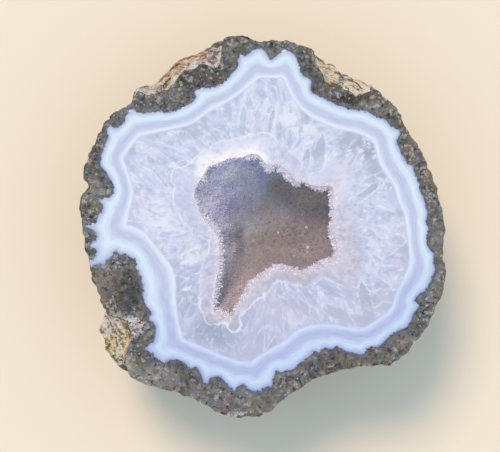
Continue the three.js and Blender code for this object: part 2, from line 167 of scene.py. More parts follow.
# Mouth of the hollow, at the inner edge of its crystals.
MOUTH = (
    (16.3, -1.8), (16.1, -0.3), (16.4, 3.6), (15.8, 6.5), (15.7, 9.6), (12.5, 9.2), (9.1, 10.8),
    (7.5, 10.3), (3.9, 13.8), (2.4, 14.6), (1.4, 13.8), (-0.6, 16.6), (-1.9, 17.9),
    (-5.9, 17.3), (-8.5, 16.9), (-10.6, 15.8), (-13.2, 15), (-14.9, 12.6), (-16.7, 8.4),
    (-15.5, 4.4), (-13.8, 1.7), (-11, -0.8), (-9.8, -4), (-10, -8), (-10.8, -12.7),
    (-11.8, -18.7), (-11.3, -20), (-8.6, -21.5), (-7.6, -21), (-5.9, -18), (-3.9, -14),
    (-2.3, -12.3), (0.8, -10), (3.8, -8.8), (7.5, -10), (9.1, -10.3), (12.8, -8.6),
    (16.7, -7.3), (17.2, -5.6),
)

# Edge of the stone behind the crystals.
SOCKET = (
    (19, -2), (18.6, 3), (19, 8), (17.5, 11.8), (13, 11.6), (9.5, 13.5), (5.5, 16.6),
    (1.5, 18.2), (-1.5, 20.8), (-6, 19.8), (-11, 18.8), (-15, 16.8), (-17.6, 13), (-18.8, 8.5),
    (-17.8, 4), (-15.5, 0.5), (-12.6, -2), (-12, -5), (-12.3, -9), (-13, -13), (-13.8, -18),
    (-13.2, -21.5), (-10.5, -23.6), (-7.5, -23.6), (-5.2, -21), (-3.2, -17), (-0.8, -14),
    (2.5, -12), (6, -12), (9.5, -12.6), (13.5, -11), (17.5, -9.8), (19.3, -7),
)

# Compass angle in degrees and reach, by which the wall of the hollow undercuts its mouth.
UNDERCUT = (
    (0, 4.5), (40, 5), (80, 1), (125, -4.5), (165, -3.4), (200, -1), (235, -3), (262, 0.5),
    (290, 1.5), (330, 3),
)

# Knobs and dents of the outside: compass angle, height above the floor, half-widths round the
# stone and up its side, and how far each stands out.
KNOBS = (
    (12, 22, 8, 5, 2.6), (20, 33, 5, 3, -1.2), (34, 12, 6, 5, 2.8), (47, 27, 5, 4, -2.3),
    (63, 20, 8, 5, 3), (79, 31, 6, 3, 1.2), (88, 9, 7, 5, 2.4), (97, 24, 5, 4, -2.4),
    (118, 17, 8, 6, 3.2), (131, 30, 7, 3, 1.6), (142, 24, 5, 3.5, -2.2), (152, 11, 6, 4, 2.5),
    (171, 24, 7, 5, 2.7), (190, 14, 5, 4, -2.6), (199, 28, 6, 4, 1.8), (211, 17, 7, 5, 2.2),
    (221, 27, 7, 6, 2.6), (236, 11, 7, 5, 2.5), (250, 24, 5, 4, -2.5), (263, 31, 6, 3, 1.4),
    (272, 17, 8, 5, 3), (289, 27, 7, 4, 2), (301, 11, 5, 4, -2.3), (318, 19, 8, 5, 3),
    (333, 30, 6, 3.5, -1.6), (342, 11, 6, 4, 2.5),
)


class Slot(Enum):
    """The record's material slots."""

    STONE = "stone"
    DRUSE = "druse"


class Feel(Enum):
    """How two colours are put together."""

    MIX = "MIX"
    MULTIPLY = "MULTIPLY"
    OVERLAY = "OVERLAY"


class Fade(NamedTuple):
    """Where something starts to fade in, and where it is full."""

    start: float
    full: float


class Form(NamedTuple):
    """Forms on a surface: their width and how far they move it, in millimetres, and a seed."""

    width: float
    move: float
    seed: int

    def noise(self, places: np.ndarray, octaves: int = 2) -> np.ndarray:
        """Return how far waves of noise move the surface at some places."""
        return self.move * fractal_noise(places, self.width, self.seed, octaves)

    def lumps(self, places: np.ndarray) -> np.ndarray:
        """Return how far rounded lumps with creases between them move it."""
        return self.move * (HALF_CELL - nearest_seed(places, self.width, self.seed))

    def pits(self, places: np.ndarray, fade: Fade) -> np.ndarray:
        """Return how deep scattered round pits are, which fade in towards their middles."""
        return self.move * smooth_step(*fade, nearest_seed(places, self.width, self.seed))


def smooth_step(low: float, high: float, value: np.ndarray) -> np.ndarray:
    """Return 0 below low, 1 above high, and 3t^2 - 2t^3 between them.

    Args:
        low: Where the rise starts.
        high: Where it ends. It may be lower than low, for a fall.
        value: Numbers to judge.

    Returns:
        An array of shares from 0 to 1.
    """
    share = np.clip((value - low) / (high - low), 0.0, 1.0)
    return share * share * (3 - 2 * share)


def lattice_hash(cells: np.ndarray, seed: int) -> np.ndarray:
    """Return a repeatable number from 0 to 1 for each whole-number cell.

    The cell's three numbers and the seed are multiplied by large odd numbers and added, and
    the sum is mixed with itself by shifts.

    Args:
        cells: Whole numbers, three in the last axis.
        seed: Picks one of many such patterns.

    Returns:
        One number for each cell.
    """
    mixed = (cells.astype(np.int64) @ CELL_FACTORS + seed * SEED_FACTOR) & WORD
    for shift, factor in HASH_ROUNDS:
        mixed = ((mixed ^ (mixed >> shift)) * factor) & WORD
    return ((mixed ^ (mixed >> LAST_SHIFT)) & FRACTION) / FRACTION


def value_noise(places: np.ndarray, size: float, seed: int) -> np.ndarray:
    """Return smooth noise from -1 to 1: random corner values blended inside each cube.

    The blend along each edge, at a share t of it, is 6t^5 - 15t^4 + 10t^3.

    Args:
        places: Points, three numbers in the last axis.
        size: Edge of a cube, in the points' unit.
        seed: Picks the pattern.

    Returns:
        One number for each point.
    """
    scaled = places / size + SEED_SHIFT * seed
    cell = np.floor(scaled)
    inside = scaled - cell
    blend = inside ** 3 * (inside * (inside * 6 - 15) + 10)
    total = np.zeros(places.shape[:-1])
    for corner in np.ndindex(2, 2, 2):
        reach = np.where(np.array(corner) == 1, blend, 1 - blend)
        total += lattice_hash(cell + np.array(corner), seed) * reach.prod(axis=-1)
    return total * 2 - 1


def fractal_noise(places: np.ndarray, size: float, seed: int, octaves: int = 2) -> np.ndarray:
    """Return the sum of value noises, each half as large and half as strong as the last.

    Args:
        places: Points, three numbers in the last axis.
        size: Size of the largest forms.
        seed: Picks the pattern.
        octaves: How many noises are added.

    Returns:
        One number for each point, mostly from -1 to 1.
    """
    layers = [value_noise(places, size / 2 ** k, seed + k) / 2 ** k for k in range(octaves)]
    return np.sum(layers, axis=0)


def nearest_seed(places: np.ndarray, size: float, seed: int) -> np.ndarray:
    """Return the distance to the nearest of many scattered seeds, one in each cube.

    Args:
        places: Points, three numbers in the last axis.
        size: Edge of a cube, in the points' unit.
        seed: Picks the pattern.

    Returns:
        Distances in cube edges.
    """
    scaled = places / size
    cell = np.floor(scaled)
    best = np.full(places.shape[:-1], np.inf)
    for step in np.ndindex(3, 3, 3):
        near = cell + np.array(step) - 1
        spots = [lattice_hash(near, seed + axis) for axis in range(3)]
        away = np.linalg.norm(near + np.stack(spots, axis=-1) - scaled, axis=-1)
        best = np.minimum(best, away)
    return best


@dataclass(frozen=True)
class Outline:
    """A closed smooth line through given points, in millimetres, seen from above."""

    points: tuple[tuple[float, float], ...]

    def line(self, per_point: int) -> np.ndarray:
        """Return the line as places.

        Between two points it is the uniform Catmull-Rom cubic of the four nearest points.

        Args:
            per_point: Places for each of the points.

        Returns:
            An array of places, two numbers each.
        """
        here = np.array(self.points, float)
        before, ahead, beyond = (np.roll(here, shift, axis=0) for shift in (1, -1, -2))
        t = (np.arange(per_point) / per_point)[:, None, None]
        square = (2 * before - 5 * here + 4 * ahead - beyond) * t ** 2
        cube = (3 * here - before - 3 * ahead + beyond) * t ** 3
        places = 0.5 * (2 * here + (ahead - before) * t + square + cube)
        return places.transpose(1, 0, 2).reshape(-1, 2)

    def radii(self, angles: np.ndarray) -> np.ndarray:
        """Return the line's distance from the middle at each compass angle.

        Args:
            angles: Compass angles in radians.

        Returns:
            One radius for each angle.
        """
        line = self.line(FINE_STEPS)
        turn = np.mod(np.arctan2(line[:, 1], line[:, 0]), TURN)
        order = np.argsort(turn)
        return np.interp(angles, turn[order], np.hypot(*line[order].T), period=TURN)

    def depth(self, places: np.ndarray) -> np.ndarray:
        """Return how deep inside the line each place lies, below zero outside it.

        It is the distance to the nearest stretch of the line, with its sign from the number
        of stretches that a ray to the right crosses.

        Args:
            places: Places seen from above, two numbers each.

        Returns:
            One distance for each place.
        """
        start = self.line(COARSE_STEPS)
        along = np.roll(start, -1, axis=0) - start
        parts = np.array_split(places, max(1, len(places) // PLACES_AT_ONCE))
        return np.concatenate([self._depth_of(part, start, along) for part in parts])

    @staticmethod
    def _depth_of(places: np.ndarray, start: np.ndarray, along: np.ndarray) -> np.ndarray:
        """Return the signed distance for a few places, against every stretch at once.

        Args:
            places: Places seen from above, two numbers each.
            start: Where each stretch of the line starts.
            along: The way from there to its end.

        Returns:
            One distance for each place.
        """
        away = places[:, None, :] - start
        share = np.clip((away * along).sum(-1) / (along ** 2).sum(-1), 0, 1)
        nearest = np.linalg.norm(away - share[..., None] * along, axis=-1).min(axis=1)
        level = places[:, 1, None]
        finish = start + along
        spans = (start[:, 1] > level) != (finish[:, 1] > level)
        rise = np.where(along[:, 1] == 0, 1, along[:, 1])
        crossing = start[:, 0] + (level - start[:, 1]) * along[:, 0] / rise
        inside = (spans & (crossing > places[:, 0, None])).sum(axis=1) % 2 == 1
        return np.where(inside, nearest, -nearest)


def evened(radii: np.ndarray, reach: int) -> np.ndarray:
    """Return each radius as the mean of its neighbours up to reach columns away, and itself."""
    return np.mean([np.roll(radii, step) for step in range(-reach, reach + 1)], axis=0)


def quarter_turn(first: float, last: float, rows: int) -> np.ndarray:
    """Return a column of angles, from one share of a quarter turn to another."""
    return np.linspace(first, last, rows)[:, None] * math.pi / 2


def stepped_in(girth: tuple, ledges: tuple) -> tuple:
    """Return the girth's points with those along each ledge replaced by the ledge's own.

    Args:
        girth: The girth's points.
        ledges: The points of each ledge.

    Returns:
        All the points, anticlockwise from the right.
    """

    def compass(point: tuple[float, float]) -> float:
        """Return a point's compass angle, rising anticlockwise from the right."""
        return math.atan2(point[1], point[0]) % TURN

    def off_ledges(point: tuple[float, float]) -> bool:
        """Say whether no ledge spans the point's compass angle."""
        return all(
            not compass(ledge[0]) <= compass(point) <= compass(ledge[-1]) for ledge in ledges
        )

    kept = [point for point in girth if off_ledges(point)]
    return tuple(sorted([*kept, *(point for ledge in ledges for point in ledge)], key=compass))


def add_object(name: str, data: bpy.types.ID) -> bpy.types.Object:
    """Put a mesh, a lamp or a camera into the scene, at the origin.

    Args:
        name: The object's name.
        data: What it shows or is.

    Returns:
        The object.
    """
    made = bpy.data.objects.new(name, data)
    bpy.context.scene.collection.objects.link(made)
    return made


def add_piece(
    name: str,
    places: np.ndarray,
    faces: np.ndarray,
    attributes: dict[str, np.ndarray],
    materials: list[bpy.types.Material],
    material_of_face: np.ndarray | None = None,
) -> bpy.types.Object:
    """Make an object from whole arrays.

    Args:
        name: The piece's name.
        places: Its vertices in millimetres, three numbers each.
        faces: Its triangles, three vertex numbers each.
        attributes: Numbers for each vertex, by name, for the materials to read.
        materials: Its materials.
        material_of_face: Which material each triangle takes, or None for the first.

    Returns:
        The object, at the origin.
    """
    mesh = bpy.data.meshes.new(name)
    mesh.vertices.add(len(places))
    mesh.vertices.foreach_set("co", (places * MM).astype(np.float32).ravel())
    mesh.loops.add(faces.size)
    mesh.loops.foreach_set("vertex_index", faces.astype(np.int32).ravel())
    mesh.polygons.add(len(faces))
    mesh.polygons.foreach_set("loop_start", np.arange(0, faces.size, 3, dtype=np.int32))
    for material in materials:
        mesh.materials.append(material)
    if material_of_face is not None:
        mesh.polygons.foreach_set("material_index", material_of_face.astype(np.int32))
    for key, values in attributes.items():
        layer = mesh.attributes.new(key, "FLOAT", "POINT")
        layer.data.foreach_set("value", values.astype(np.float32).ravel())
    mesh.update(calc_edges=True)
    mesh.validate()
    mesh.set_sharp_from_angle(angle=CREASE)
    return add_object(name, mesh)


def grid_faces(rows: int, columns: int) -> np.ndarray:
    """Return the triangles of a grid that closes round itself, rows running downwards.

    Each square between two rows is cut into two triangles, facing away from the axis.

    Args:
        rows: Rings of vertices.
        columns: Vertices in a ring.

    Returns:
        Vertex numbers, three for each triangle.
    """
    row, column = np.meshgrid(np.arange(rows - 1), np.arange(columns), indexing="ij")
    beside = (column + 1) % columns
    top, top_beside = row * columns + column, row * columns + beside
    low, low_beside = top + columns, top_beside + columns
    sides = [top, low, low_beside, top, low_beside, top_beside]
    return np.stack(sides, axis=-1).reshape(-1, 3)


def closed_grid(grid: np.ndarray, first: tuple, last: tuple) -> tuple[np.ndarray, np.ndarray]:
    """Close a grid of rings with a pole at each end.

    Args:
        grid: Rings of points, running outwards over the top and inwards underneath.
        first: The pole before the first ring.
        last: The pole after the last ring.

    Returns:
        Vertices, with the poles last, and triangles, in the rings' order.
    """
    rows, columns = grid.shape[:2]
    places = np.concatenate([grid.reshape(-1, 3), (first, last)])
    ring = np.arange(columns)
    beside = np.roll(ring, -1)
    poles = np.full((2, columns), [[rows * columns], [rows * columns + 1]])
    end = (rows - 1) * columns
    start_fan = np.stack([poles[0], ring, beside], axis=-1)
    end_fan = np.stack([ring + end, poles[1], beside + end], axis=-1)
    return places, np.concatenate([start_fan, grid_faces(rows, columns), end_fan])


class Value:
    """A shader socket that Python's operators turn into Math nodes."""

    def __init__(self, graph: "Graph", socket: bpy.types.NodeSocket) -> None:
        """Wrap a socket of the graph."""
        self.graph = graph
        self.socket = socket

    def _math(self, operation: str, first: Any, second: Any = None) -> "Value":
        """Return a Math node's result on one or two values.

        Args:
            operation: What the node works out.
            first: Its first value.
            second: Its second value, where it takes two.

        Returns:
            The result.
        """
        inputs = {0: first} if second is None else {0: first, 1: second}
        node = self.graph.node("ShaderNodeMath", {"operation": operation}, inputs)
        return Value(self.graph, node.outputs[0])

    def __add__(self, other: Any) -> "Value":
        """Return self + other."""
        return self._math("ADD", self, other)

    def __sub__(self, other: Any) -> "Value":
        """Return self - other."""
        return self._math("SUBTRACT", self, other)

    def __rsub__(self, other: Any) -> "Value":
        """Return other - self."""
        return self._math("SUBTRACT", other, self)

    def __mul__(self, other: Any) -> "Value":
        """Return self * other."""
        return self._math("MULTIPLY", self, other)

    def __truediv__(self, other: Any) -> "Value":
        """Return self / other."""
        return self._math("DIVIDE", self, other)

    def __rtruediv__(self, other: Any) -> "Value":
        """Return other / self."""
        return self._math("DIVIDE", other, self)

    def __abs__(self) -> "Value":
        """Return the size of self, without its sign."""
        return self._math("ABSOLUTE", self)

    __radd__ = __add__
    __rmul__ = __mul__

    def least(self, other: Any) -> "Value":
        """Return the smaller of self and other."""
        return self._math("MINIMUM", self, other)

    def most(self, other: Any) -> "Value":
        """Return the larger of self and other."""
        return self._math("MAXIMUM", self, other)

    def step(self, low: float, high: float) -> "Value":
        """Return a smooth rise from 0 at low to 1 at high, or a fall if high is lower.

        Args:
            low: Where it is 0.
            high: Where it is 1.

        Returns:
            A share from 0 to 1.
        """
        ends = (low, high, 0.0, 1.0) if low < high else (high, low, 1.0, 0.0)
        settings = {"interpolation_type": "SMOOTHSTEP"}
        inputs = {0: self, **dict(zip((1, 2, 3, 4), ends))}
        return Value(self.graph, self.graph.node("ShaderNodeMapRange", settings, inputs).outputs[0])

    def ramp(self, *stops: tuple[float, tuple]) -> "Value":
        """Return the colour at self between stops, each a position and a colour."""
        node = self.graph.node("ShaderNodeValToRGB", {"stops": stops}, {0: self})
        return Value(self.graph, node.outputs[0])

    def shades(self, stops: tuple[tuple[float, tuple], ...]) -> "Value":
        """Return the colour at self between stops, each a position and a colour as it shows."""
        return self.ramp(*((position, shade(*hue)) for position, hue in stops))


class Graph:
    """One material's node tree, written as expressions."""

    def __init__(self, name: str) -> None:
        """Start an empty material. Its place is the point on the object, in millimetres.

        Args:
            name: The material's name.
        """
        self.material = bpy.data.materials.new(name)
        self.material.use_nodes = True
        self.tree = self.material.node_tree
        self.tree.nodes.clear()
        metres = self.value("ShaderNodeTexCoord", "Object", None, None)
        self.place = self.vector("MULTIPLY", metres, (1 / MM,) * 3)

    def node(
        self, kind: str, settings: dict[str, Any] | None = None, inputs: dict | None = None
    ) -> bpy.types.Node:
        """Add a node.

        Args:
            kind: The node's type.
            settings: Its own settings, set first. "stops" are a colour ramp's.
            inputs: Values or links of its sockets, by name or number.

        Returns:
            The node.
        """
        node = self.tree.nodes.new(kind)
        for key, value in (settings or {}).items():
            if key == "stops":
                self._set_stops(node.color_ramp, value)
            else:
                setattr(node, key, value)
        for key, value in (inputs or {}).items():
            if isinstance(value, Value):
                self.tree.links.new(value.socket, node.inputs[key])
            else:
                node.inputs[key].default_value = value
        return node

    @staticmethod
    def _set_stops(ramp: bpy.types.ColorRamp, stops: tuple) -> None:
        """Give a ramp its stops.

        Args:
            ramp: A ramp with two stops or more.
            stops: Positions and colours.
        """
        while len(ramp.elements) < len(stops):
            ramp.elements.new(1.0)
        for element, (position, colour) in zip(ramp.elements, stops):
            element.position = position
            element.color = colour

    def value(self, kind: str, output: Any, settings: dict | None, inputs: dict | None) -> Value:
        """Return one output of a new node."""
        return Value(self, self.node(kind, settings, inputs).outputs[output])

    def attribute(self, name: str) -> Value:
        """Return a vertex attribute's number."""
        return self.value("ShaderNodeAttribute", "Fac", {"attribute_name": name}, None)

    def vector(self, operation: str, first: Any, second: Any = None) -> Value:
        """Return a Vector Math node's vector, from one or two vectors."""
        inputs = {0: first} if second is None else {0: first, 1: second}
        return self.value("ShaderNodeVectorMath", "Vector", {"operation": operation}, inputs)

    def parts(self, vector: Value) -> tuple[Value, Value, Value]:
        """Return a vector's three numbers."""
        node = self.node("ShaderNodeSeparateXYZ", None, {0: vector})
        return tuple(Value(self, socket) for socket in node.outputs)

    def length(self, vector: Value) -> Value:
        """Return how long a vector is."""
        return self.value("ShaderNodeVectorMath", "Value", {"operation": "LENGTH"}, {0: vector})

    def joined(self, x: Any, y: Any, z: Any) -> Value:
        """Return a vector of three numbers."""
        return self.value("ShaderNodeCombineXYZ", 0, None, {0: x, 1: y, 2: z})

    def noise(
        self, size: float, detail: float = 3.0, rough: float = 0.55, at: Value | None = None
    ) -> Value:
        """Return noise from 0 to 1, with forms about size across, at the place or elsewhere."""
        inputs = {"Scale": 1 / size, "Detail": detail, "Roughness": rough}
        return self.value("ShaderNodeTexNoise", "Fac", None, {"Vector": at or self.place, **inputs})

    def sway(self, reach: float, size: float, *texture: float) -> Value:
        """Return noise about 0 that spans reach from its lowest to its highest."""
        return (self.noise(size, *texture) - 0.5) * reach

    def cells(self, size: float, feature: str = "F1", at: Value | None = None) -> Value:
        """Return the distance to the seeds, or edges, of cells about size across."""
        inputs = {"Vector": at or self.place, "Scale": 1 / size}
        return self.value("ShaderNodeTexVoronoi", "Distance", {"feature": feature}, inputs)

    def cell_tones(self, size: float = 1.0, at: Value | None = None) -> Value:
        """Return a number from 0 to 1 that differs between cells about size across.

        Args:
            size: Width of a cell.
            at: Where it is read, or None for the place.

        Returns:
            The number.
        """
        scaled = self.vector("DIVIDE", at or self.place, (size,) * 3)
        inputs = {"Vector": scaled, "Scale": 1.0}
        colour = self.value("ShaderNodeTexVoronoi", "Color", None, inputs)
        return self.parts(colour)[0]

    def mix(self, share: Any, first: Any, second: Any, feel: Feel = Feel.MIX) -> Value:
        """Return the first colour blended into the second by a share."""
        settings = {"data_type": "RGBA", "blend_type": feel.value}
        return self.value("ShaderNodeMix", 2, settings, {0: share, 6: first, 7: second})

    def tinted(self, colour: Any, *layers: tuple[Any, tuple]) -> Value:
        """Return the colour under layers, in turn.

        Args:
            colour: The lowest colour.
            layers: For each one a share and a colour as it shows.

        Returns:
            The new colour.
        """
        for share, hue in layers:
            colour = self.mix(share, colour, shade(*hue))
        return colour

    def overlaid(self, share: Any, colour: Value, tone: Value, low: float, high: float) -> Value:
        """Return the colour with greys over it, from dark where a tone is low to pale."""
        greys = tone.ramp((low, GREY_DARK), (high, GREY_PALE))
        return self.mix(share, colour, greys, Feel.OVERLAY)

    def bump(self, height: Value, depth: float) -> Value:
        """Return a normal roughened by a height, of which 1 stands for a depth."""
        inputs = {"Height": height, "Distance": depth * MM, "Strength": 1.0}
        return self.value("ShaderNodeBump", 0, None, inputs)

    def surface(self, **sockets: Any) -> Value:
        """Return a Principled surface. Underscores in names stand for spaces."""
        inputs = {key.replace("_", " "): value for key, value in sockets.items()}
        return self.value("ShaderNodeBsdfPrincipled", 0, None, inputs)

    def finish(self, shader: Value) -> bpy.types.Material:
        """Make the shader the material's surface."""
        self.node("ShaderNodeOutputMaterial", None, {"Surface": shader})
        return self.material


def shade(red: float, green: float, blue: float) -> tuple[float, float, float, float]:
    """Return the surface colour that shows as a screen colour in the studio's light.

    The screen's sRGB curve is undone, and the light's own colour divided out.

    Args:
        red: The screen's red, 0 to 255.
        green: Its green.
        blue: Its blue.

    Returns:
        Red, green, blue and alpha from 0 to 1.
    """
    screen = np.array((red, green, blue)) / 255
    linear = np.where(screen <= 0.04045, screen / 12.92, ((screen + 0.055) / 1.055) ** 2.4)
    return (*(linear / STUDIO_LIGHT).tolist(), 1.0)


def patch(graph: Graph, middle: tuple, reach: tuple, edge: float = 0.4) -> Value:
    """Return 1 at a spot on the object, fading to 0 at a ragged edge.

    Args:
        graph: The material's graph.
        middle: The spot, in millimetres.
        reach: How far it spreads along each axis.
        edge: Share of that reach over which it fades.

    Returns:
        The spot's mask.
    """
    away = graph.vector("DIVIDE", graph.vector("SUBTRACT", graph.place, middle), reach)
    ragged = graph.length(away) + graph.sway(1.1, 1.6, 4.0)
    return ragged.step(PATCH_RIM, PATCH_RIM - edge)


def mottled(graph: Graph, colour: Value, tints: tuple) -> Value:
    """Return the colour with tints over it, in turn, each where a noise of its own is strong.

    Args:
        graph: The material's graph.
        colour: The colour under the tints.
        tints: For each one its noise's size, detail and roughness, where it fades in, how
            strong it is, and its colour as it shows.

    Returns:
        The new colour.
    """
    for texture, fade, strength, hue in tints:
        mask = graph.noise(*texture).step(*fade)
        colour = graph.tinted(colour, (mask * strength, hue))
    return colour


@dataclass(frozen=True)
class SawnFace:
    """The sawn face: polished agate bands, quartz, the milky rim of the hollow, and dull rock.

    Its tables give colours as they show. A spot has a middle, a reach, a colour and a strength,
    and a spear a tip, a foot, half its width and a colour.
    """

    gloss: float = 0.24
    rock_roughness: float = 0.9
    rock_depth: float = 0.6
    level: float = 42.0
    spot_depth: float = 9.0
    spot_edge: float = 0.9
    stain_edge: float = 0.6
    seam_white: tuple = (240, 243, 254)
    chips: tuple = (
        ((-33.6, -24.8), (4.8, 3), (242, 234, 236), 0.25),
        ((-38.5, -7.8), (5.5, 3), (184, 186, 212), 0.2),
        ((-21, 37), (6.5, 2.2), (170, 170, 174), 0.14),
        ((-31.5, 34.5), (4, 1.6), (222, 220, 218), 0.2),
        ((-10.5, -42), (4.5, 1.8), (206, 204, 200), 0.12),
        ((-3, -46.8), (7, 1.2), (240, 240, 242), 0.22),
        ((-27, -38), (9, 3.5), (196, 190, 186), 0.08),
        ((-44, 2), (2.5, 14), (190, 186, 182), 0.06),
        ((13.2, 42.6), (1.4, 3.2), (228, 216, 208), 0.32),
    )
    stains: tuple = (
        ((20.5, 32), (5.5, 1.5), (46, 44, 42), 0.75),
        ((-41, -18.5), (1.8, 2.4), (178, 130, 84), 0.6),
        ((26.5, 32.6), (4, 1.3), (114, 88, 72), 0.5),
        ((-33.5, -15.5), (3.4, 6), (56, 57, 58), 0.5),
        ((-40.5, -14), (3, 4.5), (156, 146, 138), 0.5),
        ((-42.5, 9), (2.5, 4), (166, 162, 156), 0.45),
        ((43, -8), (4, 15), (152, 152, 152), 0.35),
        ((-29, -37.5), (8.5, 4), (172, 172, 172), 0.5),
        ((-8, -42.5), (16, 4.5), (138, 140, 144), 0.4),
        ((-16, 37.5), (10, 4), (60, 62, 56), 0.55),
        ((30, 30.5), (5, 3), (142, 142, 140), 0.35),
        ((42.5, 11), (2.2, 4), (76, 74, 68), 0.5),
        ((36.5, -28), (6, 3), (152, 148, 146), 0.4),
        ((-35, -33.5), (3, 3), (200, 194, 182), 0.5),
        ((-35, 30.5), (3, 2.5), (186, 184, 194), 0.5),
        ((-37.6, -21.8), (2.4, 1.4), (204, 190, 178), 0.55),
    )
    streak_radius: float = 28.0
    veils: tuple = (
        ((23, 21.5), (7, 4.5), (166, 174, 198), 0.8),
        ((-12.5, -26), (8, 5.5), (148, 163, 192), 0.8),
        ((-19, -17), (3.5, 6.5), (168, 180, 208), 0.75),
        ((-18.5, -6), (5, 4.2), (240, 246, 255), 0.7),
        ((6, -20.5), (12, 4.5), (204, 202, 224), 0.75),
        ((-10.5, -25), (3, 1.6), (136, 150, 178), 0.8),
        ((7, 26.5), (8, 6), (236, 244, 255), 0.6),
        ((26.5, 19.5), (3, 4), (146, 154, 180), 0.85),
        ((-22, 24.5), (7, 2), (170, 190, 220), 0.6),
        ((26, -19), (8, 6), (194, 200, 220), 0.75),
        ((34, -6), (2.5, 12), (212, 210, 228), 0.6),
        ((-26, 1), (8, 10), (226, 234, 255), 0.8),
        ((28.5, 15), (3.5, 6), (168, 176, 198), 0.7),
        ((-15, 24.5), (8, 3.5), (184, 196, 222), 0.6),
        ((29, -1), (4.5, 7), (216, 221, 243), 0.6),
    )
    hazes: tuple = (
        ((6, -12.3), (9.5, 4.2), (182, 178, 196), 0.7),
        ((21, 10), (4.5, 6.5), (234, 234, 254), 0.6),
        ((-15, 18), (4, 4), (246, 248, 255), 0.7),
        ((14, 14), (9, 4), (222, 224, 246), 0.6),
        ((-4, 21), (11, 3.5), (232, 235, 255), 0.7),
        ((-18, 8), (3, 7), (198, 202, 231), 0.6),
    )
    spears: tuple = (
        ((14.8, 24.2), (13, 12), 1.4, (172, 185, 208)),
        ((11.2, 20.6), (10, 13), 0.9, (176, 189, 210)),
        ((-5, 31), (-5.8, 20), 0.9, (188, 201, 223)),
        ((-1.4, 30.6), (-1.9, 21), 0.9, (200, 201, 224)),
        ((2.6, 30), (0.2, 20.4), 0.7, (174, 190, 214)),
        ((29.2, 11.8), (19.6, 3.8), 0.9, (172, 184, 204)),
        ((24.2, -12.8), (26.8, -25), 1.5, (174, 182, 206)),
    )
    spear_taper: float = 0.4
    spear_wobble: float = 2.2
    thinnest_bands: float = 0.4
    band_range: tuple = (-0.2, 1.2)
    low_side_tint: tuple = (0.84, 0.865, 0.975, 1.0)
    band_stops: tuple = (
        (-0.16, (78, 80, 104)), (-0.07, (92, 98, 134)), (0.01, (176, 188, 218)),
        (0.1, (199, 214, 242)), (0.25, (220, 238, 255)), (0.38, (213, 229, 251)),
        (0.5, (198, 210, 238)), (0.62, (193, 203, 233)), (0.75, (198, 208, 238)),
        (0.86, (215, 226, 249)), (0.95, (227, 239, 255)), (1.02, (212, 221, 246)),
        (1.1, (190, 202, 230)),
    )
    quartz_stops: tuple = (
        (0, (186, 193, 222)), (0.3, (192, 200, 230)), (0.55, (201, 211, 239)),
        (1, (209, 220, 245)),
    )
    milk_stops: tuple = (
        (0, (204, 212, 240)), (0.4, (197, 199, 226)), (0.62, (200, 193, 214)),
        (1, (199, 194, 212)),
    )
    rock_stops: tuple = (
        (0.34, (46, 46, 51)), (0.43, (82, 82, 87)), (0.5, (114, 114, 118)),
        (0.57, (143, 143, 145)), (0.66, (182, 180, 178)),
    )
    rock_tints: tuple = (
        ((3.5, 4, 0.65), Fade(0.5, 0.58), 0.55, (132, 114, 94)),
        ((3.5, 4, 0.65), Fade(0.47, 0.39), 0.5, (92, 104, 110)),
        ((5, 3), Fade(0.52, 0.64), 0.35, (106, 109, 88)),
    )
    skin_stops: tuple = (
        (0.36, (62, 56, 50)), (0.46, (124, 112, 98)), (0.54, (168, 154, 134)),
        (0.64, (222, 216, 208)),
    )

    def build(self) -> bpy.types.Material:
        """Make the material, which reads how deep a point lies inside each of the face's lines.

        Returns:
            The material.
        """
        graph = Graph("sawn_face")
        to_rock = graph.attribute("to_rock")
        polished = graph.surface(
            Base_Color=self.polished_colour(graph, to_rock),
            Roughness=self.gloss,
        )
        colour, height = self.rock(graph)
        sawn_rock = graph.surface(
            Base_Color=colour,
            Roughness=self.rock_roughness,
            Normal=graph.bump(height, self.rock_depth),
        )
        teeth = (graph.cells(0.95) - 0.4) * 0.9 + graph.sway(1.1, 0.5)
        mask = (to_rock + teeth).step(0.2, -0.2)
        settings = {0: mask, 1: polished, 2: sawn_rock}
        return graph.finish(graph.value("ShaderNodeMixShader", 0, None, settings))

    def spot(self, graph: Graph, middle: tuple, reach: tuple, edge: float = 0.4) -> Value:
        """Return the mask of a spot on the face, given by two numbers each for place and reach."""
        return patch(graph, (*middle, self.level), (*reach, self.spot_depth), edge)

    def spotted(self, graph: Graph, colour: Value, spots: tuple, edge: float) -> Value:
        """Return the colour with spots over it, in turn.

        Args:
            graph: The material's graph.
            colour: The colour under the spots.
            spots: For each one its middle, its reach, its colour as it shows, and a strength.
            edge: Share of its reach over which each one fades.

        Returns:
            The new colour.
        """
        for middle, reach, hue, strength in spots:
            mask = self.spot(graph, middle, reach, edge)
            colour = graph.tinted(colour, (mask * strength, hue))
        return colour

